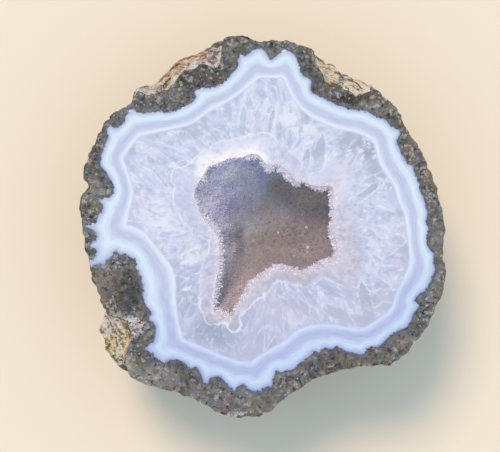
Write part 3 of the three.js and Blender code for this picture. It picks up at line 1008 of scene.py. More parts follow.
    def polished_colour(self, graph: Graph, to_rock: Value) -> Value:
        """Return the colour of all that takes a polish, from the rock to the hollow.

        A band's place is the share of the way from the rock's edge to the white line.

        Args:
            graph: The material's graph.
            to_rock: How deep a point lies inside the rock's edge.

        Returns:
            The colour.
        """
        x, y, _ = graph.parts(graph.place)
        to_quartz = graph.attribute("to_quartz")
        share = to_rock / (to_rock - to_quartz).most(self.thinnest_bands)
        low, high = self.band_range
        stops = tuple(((at - low) / (high - low), hue) for at, hue in self.band_stops)
        waver = graph.sway(0.07, 2.2, 4.0)
        agate = ((share + waver - low) / (high - low)).shades(stops)
        low_side = (y - 0.2 * x).step(-8.0, -26.0)
        agate = graph.mix(low_side, agate, self.low_side_tint, Feel.MULTIPLY)
        thin = graph.noise(0.055, 2.0, at=graph.joined(share, 0.02 * x, 0.02 * y))
        agate = graph.overlaid(0.35, agate, thin, 0.3, 0.7)
        inside = (to_quartz + graph.sway(0.5, 1.1)).step(0.1, 0.5)
        return graph.mix(inside, agate, self.quartz(graph, to_quartz))

    def quartz(self, graph: Graph, to_quartz: Value) -> Value:
        """Return the colour of the quartz, with its long crystals, feathers and milky part.

        Args:
            graph: The material's graph.
            to_quartz: How deep a point lies inside the white line.

        Returns:
            The colour.
        """
        x, y, _ = graph.parts(graph.place)
        across_x, across_y, _ = graph.parts(graph.vector("NORMALIZE", graph.joined(x, y, 0.0)))
        drift = graph.sway(3.0, 8.0, 1.0)
        along = to_quartz + graph.sway(1.5, 4.0, 1.0)

        def drawn_out(wide: float, long: float, lean: Any = 0.0) -> Value:
            """Return a place in a space drawn out along the growth of the quartz, or aslant.

            Args:
                wide: Width of the forms across the growth.
                long: Their length along it.
                lean: How far sideways the place is moved.

            Returns:
                The place.
            """
            east = across_x * self.streak_radius - across_y * lean + drift
            north = across_y * self.streak_radius + across_x * lean - drift
            return graph.joined(east / wide, north / wide, along / long)

        colour = ((y + 0.25 * x + 30.0) / 64.0).shades(self.quartz_stops)
        colour = self.spotted(graph, colour, self.veils, self.spot_edge)
        near = graph.noise(3.6, 3.0)
        glassy = (to_quartz + (near - 0.5) * 5.0).step(3.0, 0.8)
        grown = drawn_out(2.6, 4.4)
        tones = graph.cell_tones(at=grown)
        heart = graph.cells(1.0, at=grown).step(0.8, 0.3)
        lean = (tones - 0.5) * to_quartz * 1.7
        fibres = graph.noise(1.0, 4.0, 0.62, at=drawn_out(1.5, 3.0, lean))
        clouds = graph.noise(2.0, 6.0, 0.72)
        wisps = fibres * 0.55 + clouds * 0.45
        soft = y.step(-14.0, -21.0)
        seams = graph.cells(1.0, "DISTANCE_TO_EDGE", at=grown).step(0.1, 0.0)
        colour = graph.tinted(
            colour,
            (glassy * 0.35, (188, 196, 220)),
            (tones.step(0.62, 0.85) * heart * 0.6, (178, 189, 213)),
            (tones.step(0.35, 0.05) * heart * 0.4, (226, 233, 251)),
            (wisps.step(0.49, 0.41) * (0.55 - 0.2 * soft), (172, 183, 210)),
            (wisps.step(0.51, 0.6) * (0.75 - 0.38 * soft), (231, 237, 253)),
            (seams * near.step(0.46, 0.6) * 0.35, self.seam_white),
        )
        for tip, foot, half_width, hue in self.spears:
            colour = self.spear(graph, colour, tip, foot, half_width, hue)
        return self.milk(graph, colour)

    def spear(
        self, graph: Graph, colour: Value, tip: tuple, foot: tuple, half_width: float, hue: tuple
    ) -> Value:
        """Return the colour with one pointed crystal on it, cut lengthwise and outlined in white.

        Args:
            graph: The material's graph.
            colour: The colour round the crystal.
            tip: Where it ends in a point, in millimetres.
            foot: The middle of its other end.
            half_width: Half its width.
            hue: The crystal's own colour, as it shows.

        Returns:
            The new colour.
        """
        x, y, _ = graph.parts(graph.place)
        east, north = foot[0] - tip[0], foot[1] - tip[1]
        length = math.hypot(east, north)
        east, north = east / length, north / length
        rough = graph.noise(1.1, 5.0, 0.7)
        wobble = (rough - 0.5) * self.spear_wobble
        along = (x - tip[0]) * east + (y - tip[1]) * north
        aside = abs((x - tip[0]) * north - (y - tip[1]) * east)
        inside = (along * self.spear_taper).least(half_width) - aside + wobble
        faded = (along / length).step(1.1, 0.1)
        body = inside.step(-0.05, 0.4) * faded * (0.35 + rough)
        outline = abs(inside).step(0.35, 0.0) * faded * rough.step(0.4, 0.6)
        return graph.tinted(colour, (body.least(0.7), hue), (outline * 0.7, self.seam_white))

    def milk(self, graph: Graph, quartz: Value) -> Value:
        """Return the quartz's colour with the milky part and its thin white outline.

        Args:
            graph: The material's graph.
            quartz: The colour of the clear quartz.

        Returns:
            The new colour.
        """
        x, y, _ = graph.parts(graph.place)
        ragged = graph.sway(1.3, 1.4, 4.0) + (graph.cells(1.8) - 0.45) * 0.9
        to_milk = graph.attribute("to_milk") + ragged
        milky = ((x - y + 36.0) / 70.0).shades(self.milk_stops)
        mottle = graph.noise(1.8, 6.0, 0.72)
        milky = graph.mix(0.3, graph.overlaid(0.9, milky, mottle, 0.38, 0.62), quartz)
        milky = self.spotted(graph, milky, self.hazes, self.spot_edge)
        rightward = (x + 0.3 * y).step(8.0, 17.0)
        low_right = (x - 0.5 * y).step(8.0, 15.0)
        inside = ((to_milk + 0.6) / (1.8 + 1.6 * rightward)).most(0.0).least(1.0)
        crisp = graph.noise(7.0, 2.0).step(0.38, 0.6)
        outline = abs(to_milk).step(0.4, 0.1) * (0.45 + 0.55 * crisp)
        outline = outline * (1.0 - 0.6 * rightward) * (1.0 - 0.55 * low_right)
        to_lip = graph.attribute("to_lip")
        frost = to_lip.step(2.4, 0.2) * graph.noise(1.0, 4.0, 0.7).step(0.35, 0.62)
        # Painted light: the white band by the upper-left lip is painted whiter still, where it
        # catches the light.
        painted_lit_lip = self.spot(graph, (-9.5, 18.5), (13.0, 8.0)) * to_lip.step(3.6, 0.6)
        sugary = self.spot(graph, (-12.5, -9.5), (3.0, 12.0)) * to_lip.step(3.4, 0.4)
        sugary = sugary * graph.noise(0.8, 4.0, 0.7).step(0.42, 0.58)
        specks = graph.cells(0.8).step(0.4, 0.14) * to_lip.step(2.0, 0.3)
        return graph.tinted(
            graph.mix(inside, quartz, milky),
            (outline * 0.8, (236, 239, 252)),
            (frost * 0.5, (232, 228, 240)),
            (painted_lit_lip * mottle.step(0.28, 0.52) * 0.95, (254, 251, 255)),
            (sugary * 0.6, (240, 232, 243)),
            (specks * 0.7, (250, 246, 252)),
        )

    def rock(self, graph: Graph) -> tuple[Value, Value]:
        """Return the colour and the height of the sawn rock.

        Args:
            graph: The material's graph.

        Returns:
            The colour, and a height for its bump.
        """
        x, y, _ = graph.parts(graph.place)
        colour = graph.noise(1.6, 7.0, 0.78).shades(self.rock_stops)
        colour = graph.overlaid(1.0, colour, graph.noise(9.0, 2.0), 0.35, 0.65)
        colour = mottled(graph, colour, self.rock_tints)
        colour = self.spotted(graph, colour, self.stains, self.stain_edge)
        clasts = graph.cell_tones(1.5)
        colour = graph.overlaid(0.4, colour, clasts, 0.0, 1.0)
        grains = graph.cell_tones(0.6)
        colour = graph.overlaid(0.7, colour, grains, 0.0, 1.0)
        to_rim, to_rock = graph.attribute("to_rim"), graph.attribute("to_rock")
        rimward = to_rim.step(5.0, 1.0) * (y - 0.2 * x).step(-36.0, -28.0)
        rimward = rimward * graph.noise(4.0, 2.0).step(0.42, 0.62)
        pale = (grains + rimward * 0.25).step(0.965, 1.0)
        holes = graph.noise(1.2, 4.0, 0.7).step(0.41, 0.33)
        joint = (to_rock + (holes + clasts - 0.5) * 0.3).step(-0.6, -0.15)
        colour = graph.tinted(
            colour,
            (pale * 0.65, (196, 192, 188)),
            (to_rock.step(-1.5, -0.3) * 0.5, (118, 124, 144)),
            (holes * 0.85, (34, 33, 36)),
            (joint * 0.6, (82, 86, 114)),
        )
        flecks = graph.noise(0.9, 4.0, 0.75)
        for middle, reach, chalk, dense in self.chips:
            chip = (grains * 0.3 + flecks).step(0.85 - dense, 0.91 - dense)
            mask = self.spot(graph, middle, reach) * chip
            colour = graph.tinted(colour, (mask * (0.35 + 0.6 * clasts), chalk))
        skin = (to_rim + graph.sway(6.5, 2.2, 5.0, 0.7)).step(0.3, -0.3)
        colour = graph.mix(skin * 0.8, colour, flecks.shades(self.skin_stops))
        height = graph.noise(0.8, 5.0, 0.75) - holes * 0.6
        return colour, height


@dataclass(frozen=True)
class Rind:
    """The rough outside: grey-brown volcanic rock with dark pits, tan crusts and a chalky skin.

    The darkness of its pits and creases is painted shade. Its tables give colours as they show.
    A crust has a middle, a reach, a colour, the colour of its edge, and how grainy it is.
    """

    roughness: float = 0.92
    depth: float = 0.7
    bleached: tuple = (240, 232, 226)
    crack: tuple = (78, 66, 58)
    rusting: tuple = (0.53, 0.47, 0.41)
    stops: tuple = (
        (0.3, (72, 66, 60)), (0.45, (104, 96, 86)), (0.58, (132, 122, 108)),
        (0.72, (166, 152, 132)),
    )
    tints: tuple = (
        ((11, 4, 0.6), Fade(0.5, 0.66), 0.55, (176, 154, 124)),
        ((3, 6, 0.7), Fade(0.58, 0.7), 0.6, (206, 199, 186)),
    )
    crusts: tuple = (
        ((-20.5, 41, 38), (12, 7.5, 12), (212, 182, 146), (238, 238, 246), 0.3),
        ((-12, 43.5, 38), (3.4, 3.6, 9), (198, 192, 198), (236, 238, 246), 0.8),
        ((-29.5, 36, 38), (6, 5, 9), (214, 200, 188), (246, 244, 250), 0.5),
        ((20.5, 37.5, 38), (2.6, 2.4, 9), (184, 180, 180), (226, 218, 212), 0.8),
        ((16, 40.5, 38), (5, 5.5, 9), (240, 224, 190), (248, 236, 220), 0.35),
        ((24, 35.8, 38), (4.5, 3.4, 9), (248, 228, 210), (250, 240, 226), 0.15),
        # The four crusts of the lower-left lump are their own colours painted paler, as painted
        # light for steep sides that face away from the key.
        ((-38.5, -28.5, 38), (6.5, 8.6, 10), (255, 244, 208), (238, 202, 160), 0.8),
        ((-38.8, -29.5, 38), (2.6, 3.6, 9), (212, 200, 140), (226, 200, 160), 0.8),
        ((-38, -25.6, 38), (3.4, 3.4, 8), (255, 250, 228), (255, 226, 196), 0.6),
        ((-40.6, -24, 38), (4.4, 3.6, 9), (252, 234, 222), (240, 228, 222), 0.7),
    )

    def build(self) -> bpy.types.Material:
        """Make the material, which reads how far a point stands out of the smooth outside.

        Returns:
            The material.
        """
        graph = Graph("rind")
        relief = graph.attribute("relief")
        colour = graph.noise(6.0, 8.0, 0.66).shades(self.stops)
        colour = mottled(graph, colour, self.tints)
        grain = graph.noise(0.8, 5.0, 0.7)
        # Painted shade: the rock darkens where the surface sinks into pits and creases.
        hollow = (relief + graph.sway(0.5, 1.0, 3.0)).step(-0.15, -0.75)
        # Paler where the surface stands out.
        raised_paler = relief.step(0.5, 1.2) * grain.step(0.4, 0.6)
        colour = graph.tinted(colour, (hollow * 0.7, (48, 43, 39)), (raised_paler * 0.4, (190, 180, 162)))
        colour, strata = self.crusted(graph, colour)
        colour = graph.overlaid(0.8, colour, grain, 0.3, 0.7)
        height = grain + graph.cells(1.1) * 0.6 + strata * 0.8
        surface = graph.surface(
            Base_Color=colour, Roughness=self.roughness, Normal=graph.bump(height, self.depth)
        )
        return graph.finish(surface)

    def crusted(self, graph: Graph, colour: Value) -> tuple[Value, Value]:
        """Return the colour with the pale crusts on it, and the height of their layers.

        Each crust is layered or grainy by its own share, cracked, and edged with another colour
        along the sawn edge.

        Args:
            graph: The material's graph.
            colour: The colour of the bare rock.

        Returns:
            The new colour, and a height for its bump.
        """
        x, y, z = graph.parts(graph.place)
        radius = graph.length(graph.joined(x, y, 0.0))
        curl = graph.sway(2.6, 3.0, 3.0)
        across = graph.joined((radius + curl) / 0.9, (y + x) / 7.0, z / 4.0)
        strata = graph.noise(1.0, 3.0, 0.6, at=across)
        speckle = graph.noise(1.0, 6.0, 0.75)
        cracks = graph.noise(1.7, 5.0, 0.7).step(0.42, 0.38)
        teeth = (speckle - 0.5) * 8.0 + graph.sway(7.0, 2.4, 2.0)
        out = teeth - graph.attribute("to_rim")
        for middle, reach, hue, edge_hue, grainy in self.crusts:
            mask = patch(graph, middle, reach, 0.8) + (speckle - 0.5) * 1.8
            mask = mask.step(0.28, 0.5)
            rust = tuple(np.array(hue) * self.rusting)
            pattern = strata * (1 - grainy) + speckle * grainy
            layered = pattern.shades(
                ((0.44, rust), (0.5, hue), (0.53, hue), (0.57, self.bleached))
            )
            colour = graph.mix(mask * 0.95, colour, layered)
            edging = mask * out.step(1.8, 1.3) * speckle.step(0.4, 0.5)
            cracked = mask * cracks * 0.7
            colour = graph.tinted(colour, (edging * 0.85, edge_hue), (cracked, self.crack))
        return colour, strata


@dataclass(frozen=True)
class Druse:
    """The sugary crystals: white at the mouth, lilac above and warm grey towards the floor.

    Its tables give colours as they show. The lilac-to-grey change across the hollow is partly the
    crystals' own and partly painted light: paler on the upper-left walls, which lie in shade,
    and darker on the lower-right ones, which the key light reaches. Each patch of painted light
    and shade has a middle, a reach, a colour and the share of its reach over which it fades; it
    makes the crystals paler or warmer where the walls lie in shade, and darker where the key light
    falls on the floor. Each glint is a painted highlight with a place and a strength.
    """

    gloss: float = 0.2
    deep_roughness: float = 0.6
    refraction: float = 1.54
    glow: float = 0.35
    glow_tint: tuple = (1.0, 0.95, 0.95)
    glow_reach: float = 0.3
    grain_depth: float = 0.1
    # Partly painted light: pale lilac at 0, on the shaded upper-left walls, to warm grey at 1, on
    # the lit lower-right ones.
    stops: tuple = (
        (0, (229, 226, 255)), (0.1, (218, 217, 250)), (0.2, (201, 205, 238)),
        (0.28, (203, 206, 232)), (0.37, (183, 185, 202)), (0.46, (166, 166, 174)),
        (0.65, (173, 168, 175)), (1, (173, 168, 178)),
    )
    tints: tuple = (
        ((2.2, 4, 0.7), Fade(0.54, 0.64), 0.3, (176, 158, 160)),
        ((2.2, 4, 0.7), Fade(0.46, 0.36), 0.3, (160, 166, 184)),
    )
    # Painted light and shade: patches that make the hollow paler or warmer where its walls lie in
    # shade, and darker where the key light falls on the floor.
    painted_light_and_shade: tuple = (
        ((11.5, 9, 30), (8.5, 7.5, 30), (221, 202, 190), 1),
        ((-8.5, -8, 30), (4, 7, 30), (246, 234, 238), 0.9),
        ((-15.5, 12, 30), (3.5, 6.5, 30), (248, 236, 248), 1),
        ((-6.5, 13.5, 30), (7, 3.5, 30), (250, 241, 252), 1),
        ((6, -2.9, 20), (9.5, 3.6, 30), (147, 142, 149), 0.9),
        ((4.2, 4.6, 24), (5.4, 4, 30), (188, 186, 197), 0.9),
        ((3.6, 10.4, 28), (3.6, 3.8, 30), (188, 178, 168), 0.8),
        ((-5, -3.5, 24), (3, 5.5, 30), (190, 188, 200), 0.9),
        ((-4.5, 0.3, 26), (5, 3, 30), (202, 207, 225), 0.9),
        ((-4.5, 10.4, 28), (5.5, 3.8, 30), (233, 233, 255), 0.9),
        ((15.8, 7, 34), (1.1, 2.2, 12), (232, 210, 198), 0.6),
    )
    glints: tuple = (
        (11.3, 0.2, 1), (11.5, -5, 0.8), (-2.7, -3.3, 0.3), (-4.6, -5.8, 0.3),
    )

    def build(self) -> bpy.types.Material:
        """Make the material, which reads a number that differs from crystal to crystal.

        Returns:
            The material.
        """
        graph = Graph("druse")
        x, y, z = graph.parts(graph.place)
        tint = graph.attribute("tint")
        # Partly painted light: the crystals are paler towards the upper-left walls, which lie in
        # shade, and darker towards the lower-right ones, which the key light reaches.
        slant = (x - y + 22.0) / 44.0 + graph.sway(0.25, 4.0, 3.0)
        # Painted light: the narrow arm of the hollow, in the shade of its left rim, is painted
        # paler.
        painted_arm_light = (y + graph.sway(3.0, 3.0, 2.0)).step(-8.0, -15.0)
        deep = graph.tinted(slant.shades(self.stops), (painted_arm_light, (205, 194, 207)))
        # Painted light and shade over the crystals' colour, patch by patch.
        for middle, reach, hue, edge in self.painted_light_and_shade:
            deep = graph.tinted(deep, (patch(graph, middle, reach, edge) * 0.85, hue))
        # Painted light: at the upper-left lip the crystals' white is painted brighter than
        # elsewhere, for the light that their shaded wall misses.
        painted_lit_lip = patch(graph, (-9.5, 18.5, 41.0), (11.0, 8.0, 30.0))
        rim = graph.mix(painted_lit_lip, shade(228, 222, 240), shade(250, 243, 255))
        rim = graph.tinted(rim, (tint.step(0.78, 0.9) * 0.6, (250, 248, 253)))
        ragged = graph.sway(1.6, 1.2, 3.0)
        near_mouth = (z + ragged - painted_lit_lip * 0.7).step(39.0, 41.0)
        inner = near_mouth.step(1.0, 0.0)
        colour = graph.mix(near_mouth, deep, rim)
        colour = graph.overlaid(inner * 0.35 + 0.1, colour, tint, 0.0, 1.0)
        colour = graph.overlaid(0.6, colour, graph.noise(0.9, 5.0, 0.8), 0.35, 0.65)
        colour = mottled(graph, colour, self.tints)
        pits = graph.cells(1.7).step(0.2, 0.1) * graph.noise(3.0).step(0.5, 0.6)
        pits = pits * near_mouth.step(0.5, 0.0)
        # Painted highlights: about one crystal in a hundred, and four given spots, are painted
        # near-white as glints.
        sparkle = tint.step(0.99, 0.993)
        for east, north, strength in self.glints:
            away = graph.vector("SUBTRACT", graph.joined(x, y, 0.0), (east, north, 0.0))
            sparkle = sparkle.most(graph.length(away).step(0.45, 0.3) * strength)
        colour = graph.tinted(colour, (pits * 0.6, (90, 82, 92)), (sparkle, (255, 252, 255)))
        dull = inner * tint.step(0.97, 0.9)
        surface = graph.surface(
            Base_Color=colour,
            Roughness=dull * (self.deep_roughness - self.gloss) + self.gloss,
            IOR=self.refraction,
            Subsurface_Weight=self.glow,
            Subsurface_Radius=self.glow_tint,
            Subsurface_Scale=self.glow_reach * MM,
            Normal=graph.bump(graph.noise(0.35, 3.0), self.grain_depth),
        )
        return graph.finish(surface)


@dataclass(frozen=True)
class Board:
    """A plain pale floor, matte and almost even."""

    colour: tuple = (0.79, 0.69, 0.555, 1.0)
    grain_tint: tuple = (0.9, 0.9, 0.9, 1.0)
    roughness: float = 0.7

    def build(self) -> bpy.types.Material:
        """Make the material.

        Returns:
            The material.
        """
        graph = Graph("floor")
        grain = graph.noise(60.0, 2.0)
        colour = graph.mix(grain * 0.06, self.colour, self.grain_tint, Feel.MULTIPLY)
        return graph.finish(graph.surface(Base_Color=colour, Roughness=self.roughness))


@dataclass
class Stone:
    """The stone: sawn face, rough outside, rest patch, and the hollow behind the crystals.

    Lengths are in millimetres, compass angles in degrees, and dips in quarter turns.
    """

    height: float = 42.0
    girth_drop: float = 7.0
    rest_radius: float = 15.0
    rest_waves: tuple[tuple[int, float, float], ...] = ((2, 1.0, 0.08), (3, 0.0, 0.06))
    evened_part: int = 16
    undercut_part: int = 40
    hollow_depth: float = 23.35
    hollow_dips: tuple[float, float] = (0.94, 0.1)
    lip_drop: float = 1.6
    lip_out: float = 0.3
    lip_share: float = 0.4
    steep_lip_share: float = 0.3
    lip_grain: Form = Form(1.8, 0.3, 3)
    steep_at: float = 128.0
    steep_fade: Fade = Fade(62.0, 28.0)
    rock_fade: Fade = Fade(0.1, 0.9)
    rock_sunk: float = 0.14
    rock_grain: Form = Form(1.6, 0.1, 75)
    rock_pits: Form = Form(2.1, 0.55, 65)
    rock_pit_fade: Fade = Fade(0.42, 0.15)
    edge_in: float = 0.35
    edge_chips: Form = Form(2.4, 0.4, 95)
    bending: Form = Form(2.5, 0.9, 5)
    lumps: Form = Form(5.0, 1.3, 15)
    clods: Form = Form(2.2, 0.7, 25)
    pits: Form = Form(2.9, 0.75, 35)
    pit_fade: Fade = Fade(0.38, 0.12)
    grain: Form = Form(1.5, 0.22, 45)
    swells: Form = Form(9.0, 0.7, 55)
    top_fade: Fade = Fade(0.0, 2.2)
    foot_fade: Fade = Fade(0.2, 3.0)
    rest_pits: Form = Form(3.0, 0.5, 85)
    rest_pit_fade: Fade = Fade(0.4, 0.1)
    columns: int = 512
    hollow_rows: int = 10
    face_rows: int = 56
    shoulder_rows: int = 14
    side_rows: int = 80
    rest_rows: int = 7
    angles: np.ndarray = field(init=False)

    def __post_init__(self) -> None:
        """Work out the columns' compass angles."""
        self.angles = np.arange(self.columns) / self.columns * TURN

    def ring(self, radii: np.ndarray, heights: Any) -> np.ndarray:
        """Return points at the columns' angles.

        Args:
            radii: Their distances from the axis.
            heights: Their heights.

        Returns:
            Points, three numbers each.
        """
        across, up = np.broadcast_arrays(radii, heights)
        sides = (across * np.cos(self.angles), across * np.sin(self.angles), up)
        return np.stack(sides, axis=-1)

    def lip(self) -> np.ndarray:
        """Return the radii at which the sawn stone ends and the crystals begin.

        They are the mouth's, moved out by lip_out, by a share of the way to the socket's, and by
        noise.

        Returns:
            One radius for each column.
        """
        mouth, socket = (Outline(points).radii(self.angles) for points in (MOUTH, SOCKET))
        ragged = self.lip_grain.noise(self.ring(mouth, 0.0))
        share = self.lip_share - self.steep_lip_share * self.steep()
        return mouth + self.lip_out + (socket - mouth) * share + ragged

    def steep(self) -> np.ndarray:
        """Return 1 where the hollow's wall falls steeply from the face, fading to 0 beside it."""
        away = np.abs(self.angles - math.radians(self.steep_at))
        return smooth_step(*(math.radians(turn) for turn in self.steep_fade), away)

    def undercut(self, edge: np.ndarray, dip: np.ndarray) -> np.ndarray:
        """Return the radii of a hollow that undercuts or leans in from its edge.

        At a dip from 0 at the edge to 90 degrees below the middle the radius is
        edge * cos(dip) + reach * sin(2 dip). A reach below zero is a lean, which fades near
        the floor by a further sqrt(2) * cos(dip).

        Args:
            edge: The edge's radii.
            dip: Dips in radians, down the rows.

        Returns:
            One radius for each row and column.
        """
        reach = np.interp(np.degrees(self.angles), *np.transpose(UNDERCUT), period=360)
        reach = evened(reach, self.columns // self.undercut_part)
        fade = np.where(reach < 0, math.sqrt(2) * np.cos(dip), 1.0)
        return edge * np.cos(dip) + reach * fade * np.sin(2 * dip)

    def hollow(self) -> np.ndarray:
        """Return the hollow's wall behind the crystals, from near its floor up to the lip.

        At a dip from 90 degrees down to 0 it lies at height - depth * sin(dip). The lip itself
        stands upright.

        Returns:
            A grid of points.
        """
        dip = quarter_turn(*self.hollow_dips, self.hollow_rows)
        radii = self.undercut(Outline(SOCKET).radii(self.angles), dip)
        wall = self.ring(radii, self.height - self.hollow_depth * np.sin(dip))
        return np.concatenate([wall, self.ring(self.lip(), self.height - self.lip_drop)[None]])

    def face(self, sawn: np.ndarray) -> np.ndarray:
        """Return the level sawn face, from the lip out to just inside the sawn edge.

        Its rows are even steps from the lip's radius to the sawn edge's. Outside the rock's edge
        it is sunk a little, and further by noise and pits.

        Args:
            sawn: The sawn edge's radii.

        Returns:
            A grid of points.
        """
        share = np.linspace(0, 1, self.face_rows, endpoint=False)[:, None]
        level = self.ring(self.lip() + (sawn - self.lip()) * share, self.height)
        outside = -Outline(ROCK_EDGE).depth(level[..., :2].reshape(-1, 2))
        rock = smooth_step(*self.rock_fade, outside.reshape(level.shape[:2]))
        pits = self.rock_pits.pits(level, self.rock_pit_fade)
        level[..., 2] -= rock * (self.rock_sunk + self.rock_grain.noise(level) + pits)
        level[..., 2] = np.minimum(level[..., 2], self.height)
        return level

    def side(self, sawn: np.ndarray) -> tuple[np.ndarray, np.ndarray]:
        """Return the outside, from the sawn edge down to the rest patch, and how far it strays.

        The shoulder falls by girth_drop as its radius grows from the sawn edge to the girth,
        with the square root of that growth. Below it a point lies at body * cos(dip) from the
        axis, and its height falls with sin(dip) to 0 at the rest patch. Knobs, noise and pits
        then move it square to that surface.

        Args:
            sawn: The sawn edge's radii.

        Returns:
            A grid of points, and how far each one was moved.
        """
        girth = Outline(GIRTH).radii(self.angles)
        even = evened(girth, self.columns // self.evened_part)
        fall = np.linspace(0, 1, self.shoulder_rows, endpoint=False)[:, None]
        radii = sawn + (girth - sawn) * fall ** 2
        shoulder = self.ring(radii, self.height - self.girth_drop * fall)
        share = np.linspace(0, 1, self.side_rows)[:, None]
        body = girth + (even - girth) * np.minimum(1, 2 * share)
        lowest = np.arccos(self.rest() / body)
        dip = lowest * share
        middle = self.height - self.girth_drop
        heights = middle * (1 - np.sin(dip) / np.sin(lowest))
        fade = np.sqrt(np.sin(share * math.pi).clip(0))
        rise = self.knob_rise(heights, body * np.cos(dip)) * fade
        below = self.ring(body * np.cos(dip) + rise * np.cos(dip), heights - rise * np.sin(dip))
        return self.roughened(np.concatenate([shoulder, below]))

    def rest(self) -> np.ndarray:
        """Return the radii of the rest patch, a circle with a few sine waves round it.

        Returns:
            One radius for each column.
        """
        waves = [share * np.sin(count * self.angles + at) for count, at, share in self.rest_waves]
        return self.rest_radius * (1 + np.sum(waves, axis=0))

    def knob_rise(self, heights: np.ndarray, radii: np.ndarray) -> np.ndarray:
        """Return how far the knobs and dents stand out.

        Each is a hill of rise * exp(-(round / wide)^2 - (up / tall)^2), where round and up are the
        distances from its middle.

        Args:
            heights: Heights of the points.
            radii: Their distances from the axis.

        Returns:
            One distance for each point.
        """
        total = np.zeros(np.broadcast_shapes(heights.shape, radii.shape))
        for degrees, level, wide, tall, rise in KNOBS:
            apart = math.radians(degrees) - self.angles
            turn = np.arctan2(np.sin(apart), np.cos(apart))
            hill = (turn * radii / wide) ** 2 + ((heights - level) / tall) ** 2
            total += rise * np.exp(-hill)
        return total

    def roughened(self, grid: np.ndarray) -> tuple[np.ndarray, np.ndarray]:
        """Return the grid moved square to itself by rock forms, and the moves.

        The move is the sum of lumps, clods, grain and swells, less the pits. It fades out towards
        the face and the rest patch.

        Args:
            grid: The smooth outside.

        Returns:
            The new grid, and how far each point was moved.
        """
        along = np.roll(grid, -1, axis=1) - np.roll(grid, 1, axis=1)
        facing = np.cross(np.gradient(grid, axis=0), along)
        facing /= np.linalg.norm(facing, axis=-1, keepdims=True).clip(1e-9)
        bent = grid + self.bending.noise(grid)[..., None]
        move = self.lumps.lumps(bent) + self.clods.lumps(bent)
        move -= self.pits.pits(bent, self.pit_fade)
        move += self.grain.noise(grid)
        move += self.swells.noise(grid)
        up = grid[..., 2]
        move *= smooth_step(*self.top_fade, self.height - up) * smooth_step(*self.foot_fade, up)
        moved = grid + facing * move[..., None]
        moved[..., 2] = moved[..., 2].clip(0, self.height)
        return moved, move

    def underside(self, edge: np.ndarray) -> np.ndarray:
        """Return the rest patch, from just inside its edge to near the middle, with small pits.

        At a share of its radius the pits are 1 - share^8 of their depth.

        Args:
            edge: The points at its edge.

        Returns:
            A grid of points.
        """
        share = np.linspace(1, 0, self.rest_rows + 1)[1:-1, None]
        flat = self.ring(np.hypot(edge[:, 0], edge[:, 1]) * share, 0.0)
        flat[..., 2] = self.rest_pits.pits(flat, self.rest_pit_fade) * (1 - share ** 8)
        return flat

    def build(self) -> bpy.types.Object:
        """Make the stone as one closed grid with a pole in the hollow and one underneath.

        Returns:
            The piece.
        """
        edge = Outline(stepped_in(GIRTH, LEDGES)).radii(self.angles)
        sawn = edge - self.edge_in + self.edge_chips.noise(self.ring(edge, 0.0), octaves=3)
        hollow, face = self.hollow(), self.face(sawn)
        side, moves = self.side(sawn)
        under = self.underside(side[-1])
        grid = np.concatenate([hollow, face, side, under])
        places, faces = closed_grid(grid, (0, 0, self.height - self.hollow_depth), (0, 0, 0))
        first = self.columns + 2 * self.columns * (len(hollow) - 1)
        last = first + 2 * self.columns * (len(face) + 1)
        outside = np.ones(len(faces), int)
        outside[first:last] = 0
        relief = np.zeros(len(places))
        begin = (len(hollow) + len(face)) * self.columns
        relief[begin:begin + moves.size] = moves.ravel()
        attributes = {"relief": relief, **self.depths(places, sawn)}
        materials = [SawnFace().build(), Rind().build()]
        return add_piece("geode_stone_rock", places, faces, attributes, materials, outside)

    def depths(self, places: np.ndarray, sawn: np.ndarray) -> dict[str, np.ndarray]:
        """Return how deep each vertex lies inside the face's lines, or outside the lip.

        Args:
            places: The vertices.
            sawn: The sawn edge's radii.

        Returns:
            One distance for each vertex, by the line's name.
        """
        flat = places[:, :2]
        turn = np.mod(np.arctan2(flat[:, 1], flat[:, 0]), TURN)
        radius = np.hypot(flat[:, 0], flat[:, 1])
        return {
            "to_rock": Outline(ROCK_EDGE).depth(flat),
            "to_quartz": Outline(WHITE_LINE).depth(flat),
            "to_milk": Outline(MILK_EDGE).depth(flat),
            "to_lip": radius - np.interp(turn, self.angles, self.lip(), period=TURN),
            "to_rim": np.interp(turn, self.angles, sawn, period=TURN) - radius,
        }


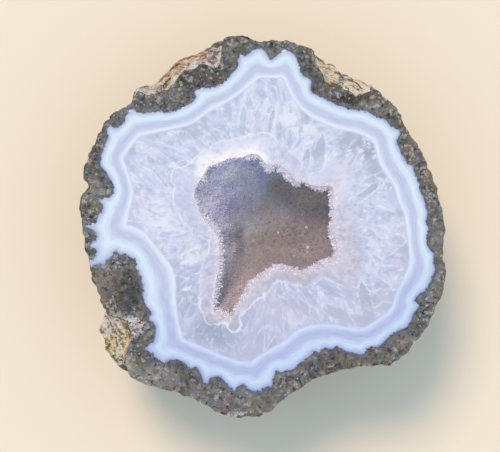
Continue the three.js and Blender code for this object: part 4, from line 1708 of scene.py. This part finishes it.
@dataclass
class CrystalCrust:
    """The druse that lines the hollow: a thin bowl set with thousands of quartz points.

    Lengths are in millimetres and dips in quarter turns. Fades run with the drop below the
    face, but those of the evened mouth run with the dip in radians.
    """

    stone: Stone
    depth: float = 21.0
    back_depth: float = 23.0
    gap: float = 0.35
    bevel: float = 1.3
    below_face: float = 0.35
    seam: float = 0.01
    sawn_off: float = 0.02
    room: float = 0.5
    steep_room_share: float = 0.8
    front_dips: tuple[float, float] = (0.97, 0.0)
    back_dips: tuple[float, float] = (0.14, 0.95)
    rounded_part: float = 0.75
    evened_parts: tuple[int, int] = (24, 6)
    evened_fade: Fade = Fade(0.0, 0.6)
    round_fade: Fade = Fade(0.7, 1.4)
    calm: float = 8.0
    lift: float = 0.35
    sugar: tuple[float, float] = (0.8, 0.25)
    grains: Form = Form(1.6, 1.0, 17)
    fine_fade: Fade = Fade(5.0, 16.0)
    swells: Form = Form(5.0, 0.55, 18)
    swell_fade: Fade = Fade(21.0, 10.0)
    still_drop: float = 1.6
    bevel_rows: int = 6
    wall_rows: int = 34
    back_rows: int = 8
    points: int = 13000
    radius: tuple[float, float] = (0.2, 0.48)
    root: float = 0.3
    foot_spread: float = 1.25
    leaning: float = 0.2
    rises: tuple[float, float] = (0.5, 1.1)
    upper_fade: Fade = Fade(4.5, 2.0)
    below_rim_fade: Fade = Fade(0.3, 1.0)
    lower_fade: Fade = Fade(10.0, 18.0)
    upper_wider: float = 0.45
    upper_taller: float = 0.5
    lower_flatter: float = 0.35
    bowl_tint: float = 0.45
    seed: int = 17

    def front(self) -> np.ndarray:
        """Return the inside of the bowl, from near its floor up to the lip.

        The wall is shaped as the stone's hollow is, from the mouth's outline, which evens out
        with depth until the floor is round, and stands back from it by the points' room. Above
        it a quarter round leads out from the mouth to the lip. Lumps and grains then move it
        inwards and outwards.

        Returns:
            A grid of points.
        """
        stone = self.stone
        room = self.room * (1 - self.steep_room_share * stone.steep())
        mouth, lip = Outline(MOUTH).radii(stone.angles) + room, stone.lip()
        even, round_floor = (evened(mouth, stone.columns // part) for part in self.evened_parts)
        dip = quarter_turn(*self.front_dips, self.wall_rows)
        top = stone.height - self.bevel
        edge = mouth + (even - mouth) * smooth_step(*self.evened_fade, dip)
        edge = edge + (round_floor - even) * smooth_step(*self.round_fade, dip)
        radii = stone.undercut(edge, dip)
        wall = stone.ring(radii, top - (self.depth - self.bevel) * np.sin(dip))
        turn = quarter_turn(0, 1, self.bevel_rows + 1)[1:]
        rounded = stone.ring(
            mouth + (lip - mouth) * self.rounded_part * (1 - np.cos(turn)),
            top + (self.bevel - self.below_face) * np.sin(turn),
        )
        brim = stone.ring(lip - self.seam, stone.height - self.seam)
        whole = np.concatenate([wall, rounded, brim[None]])
        up = whole[..., 2]
        high, low = self.sugar
        coarse = high + (low - high) * smooth_step(*self.fine_fade, stone.height - up)
        sugar = coarse * self.grains.lumps(whole)
        swells = self.swells.noise(whole) * smooth_step(*self.swell_fade, stone.height - up)
        fade = smooth_step(stone.height, stone.height - self.still_drop, up)
        inward = -whole / np.hypot(whole[..., 0], whole[..., 1])[..., None].clip(self.calm)
        inward[..., 2] = self.lift
        return whole + inward * ((sugar + swells) * fade)[..., None]

    def back(self) -> np.ndarray:
        """Return the outside of the bowl, against the stone, from under the lip down.

        At a dip from near 0 to 90 degrees it lies at height - back_depth * sin(dip).

        Returns:
            A grid of points.
        """
        stone = self.stone
        edge = Outline(SOCKET).radii(stone.angles) - self.gap
        dip = quarter_turn(*self.back_dips, self.back_rows)
        radii = stone.undercut(edge, dip)
        wall = stone.ring(radii, stone.height - self.back_depth * np.sin(dip))
        lip = stone.ring(stone.lip() - self.seam, stone.height - stone.lip_drop)
        return np.concatenate([lip[None], wall])

    def crystals(self, corners: np.ndarray) -> tuple[np.ndarray, np.ndarray, np.ndarray]:
        """Return vertices, triangles and tints of six-sided points scattered over triangles.

        A place is picked on a triangle with a chance by its area. Each point is a pyramid with
        its foot set into the surface, turned at random and leaning a little off square.

        Args:
            corners: The triangles' corners.

        Returns:
            Vertices, triangles, and one tint for each vertex.
        """
        random = np.random.default_rng(self.seed)
        normals = np.cross(corners[:, 1] - corners[:, 0], corners[:, 2] - corners[:, 0])
        area = np.linalg.norm(normals, axis=1)
        chance = area / area.sum()
        picked = random.choice(len(corners), self.points, p=chance)
        share = np.sqrt(random.random(self.points))[:, None]
        slide = random.random(self.points)[:, None]
        first, second, third = corners[picked].transpose(1, 0, 2)
        at = first * (1 - share) + second * share * (1 - slide) + third * share * slide
        facing = normals[picked] / area[picked, None]
        axis = facing + random.normal(0, self.leaning, (self.points, 3))
        axis /= np.linalg.norm(axis, axis=1, keepdims=True)
        side = np.cross(axis, random.normal(0, 1, (self.points, 3)))
        side /= np.linalg.norm(side, axis=1, keepdims=True)
        across = np.cross(axis, side)
        small, large = self.radius
        radius = small + (large - small) * random.random(self.points) ** 2
        drop = self.stone.height - at[:, 2]
        upper = smooth_step(*self.upper_fade, drop) * smooth_step(*self.below_rim_fade, drop)
        radius *= 1 + self.upper_wider * upper
        lower = smooth_step(*self.lower_fade, drop)
        taller = 1 + self.upper_taller * upper - self.lower_flatter * lower
        rise = radius * taller * random.uniform(*self.rises, self.points)
        turn = np.arange(CRYSTAL_SIDES)[:, None] / CRYSTAL_SIDES * TURN
        spokes = side[:, None] * np.cos(turn) + across[:, None] * np.sin(turn)
        foot = spokes * radius[:, None, None] * self.foot_spread
        foot += (at - axis * self.root)[:, None]
        tip = (at + axis * rise[:, None])[:, None]
        places = np.concatenate([foot, tip], axis=1)
        ring = np.arange(CRYSTAL_SIDES)
        walls = np.stack([ring, np.roll(ring, -1), np.full_like(ring, CRYSTAL_SIDES)], axis=-1)
        under = [(0, corner + 1, corner) for corner in ring[1:-1]]
        offsets = np.arange(self.points)[:, None, None] * places.shape[1]
        faces = np.concatenate([walls, under]) + offsets
        tints = np.repeat(random.random(self.points), places.shape[1])
        return places.reshape(-1, 3), faces.reshape(-1, 3), tints

    def build(self) -> bpy.types.Object:
        """Make the bowl as one closed grid, add its points, and saw all off level.

        Returns:
            The piece.
        """
        stone = self.stone
        front = self.front()
        grid = np.concatenate([front, self.back()])
        floors = [(0, 0, stone.height - depth) for depth in (self.depth, self.back_depth)]
        bowl, shell = closed_grid(grid, *floors)
        seen = grid_faces(len(front), stone.columns)
        places, faces, tints = self.crystals(bowl[seen])
        whole = np.concatenate([bowl, places])
        whole[:, 2] = whole[:, 2].clip(None, stone.height - self.sawn_off)
        tint = np.concatenate([np.full(len(bowl), self.bowl_tint), tints])
        faces = np.concatenate([shell, faces + len(bowl)])
        return add_piece("crystal_crust_druse", whole, faces, {"tint": tint}, [Druse().build()])


@dataclass
class Studio:
    """The plain floor, the soft light and the camera, straight above the face."""

    floor_size: float = 2400.0
    camera: tuple[float, float, float] = (-3.5, 0.5, 442.0)
    lens: float = 115.2
    nearest: float = 10.0
    key_colour: tuple[float, float, float] = (1.0, 0.745, 0.53)
    key_strength: float = 1.97
    key_tilt: float = 31.0
    key_compass: float = 113.0
    key_spread: float = 20.0
    sky: tuple[float, float, float, float] = (0.65, 0.81, 0.95, 1.0)

    def build_floor(self) -> bpy.types.Object:
        """Make the floor under the rest patch.

        Returns:
            The floor.
        """
        half = self.floor_size / 2 * MM
        corners = [(-half, -half, 0), (half, -half, 0), (half, half, 0), (-half, half, 0)]
        mesh = bpy.data.meshes.new("floor")
        mesh.from_pydata(corners, [], [(0, 1, 2, 3)])
        mesh.materials.append(Board().build())
        return add_object("floor", mesh)

    def light(self) -> None:
        """Add a broad warm key light from the upper left and a cool even sky."""
        lamp = bpy.data.lights.new("key", "SUN")
        lamp.energy = self.key_strength
        lamp.color = self.key_colour
        lamp.angle = math.radians(self.key_spread)
        key = add_object("key", lamp)
        key.rotation_euler = (0.0, math.radians(self.key_tilt), math.radians(self.key_compass))
        world = bpy.data.worlds.new("sky")
        world.use_nodes = True
        world.node_tree.nodes["Background"].inputs["Color"].default_value = self.sky
        bpy.context.scene.world = world

    def aim(self) -> None:
        """Add the camera, looking straight down with the face filling its view."""
        lens = bpy.data.cameras.new("camera")
        lens.lens = self.lens
        lens.clip_start = self.nearest * MM
        camera = add_object("camera", lens)
        camera.location = [length * MM for length in self.camera]
        bpy.context.scene.camera = camera
        bpy.context.scene.view_settings.view_transform = "Standard"


def report(piece: bpy.types.Object) -> None:
    """Say what a piece holds."""
    piece.data.calc_loop_triangles()
    LOG.info("%s: %d triangles", piece.name, len(piece.data.loop_triangles))


def main() -> None:
    """Build the stone, its crystals and the studio, in that order."""
    logging.basicConfig(level=logging.INFO, format="%(name)s: %(message)s")
    stone = Stone()
    rock = stone.build()
    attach(rock, "root")
    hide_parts("geode_stone")
    report(rock)
    crust = CrystalCrust(stone).build()
    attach(crust, "root")
    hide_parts("crystal_crust")
    report(crust)
    studio = Studio()
    floor = studio.build_floor()
    studio.light()
    studio.aim()


if __name__ == "__main__":
    main()
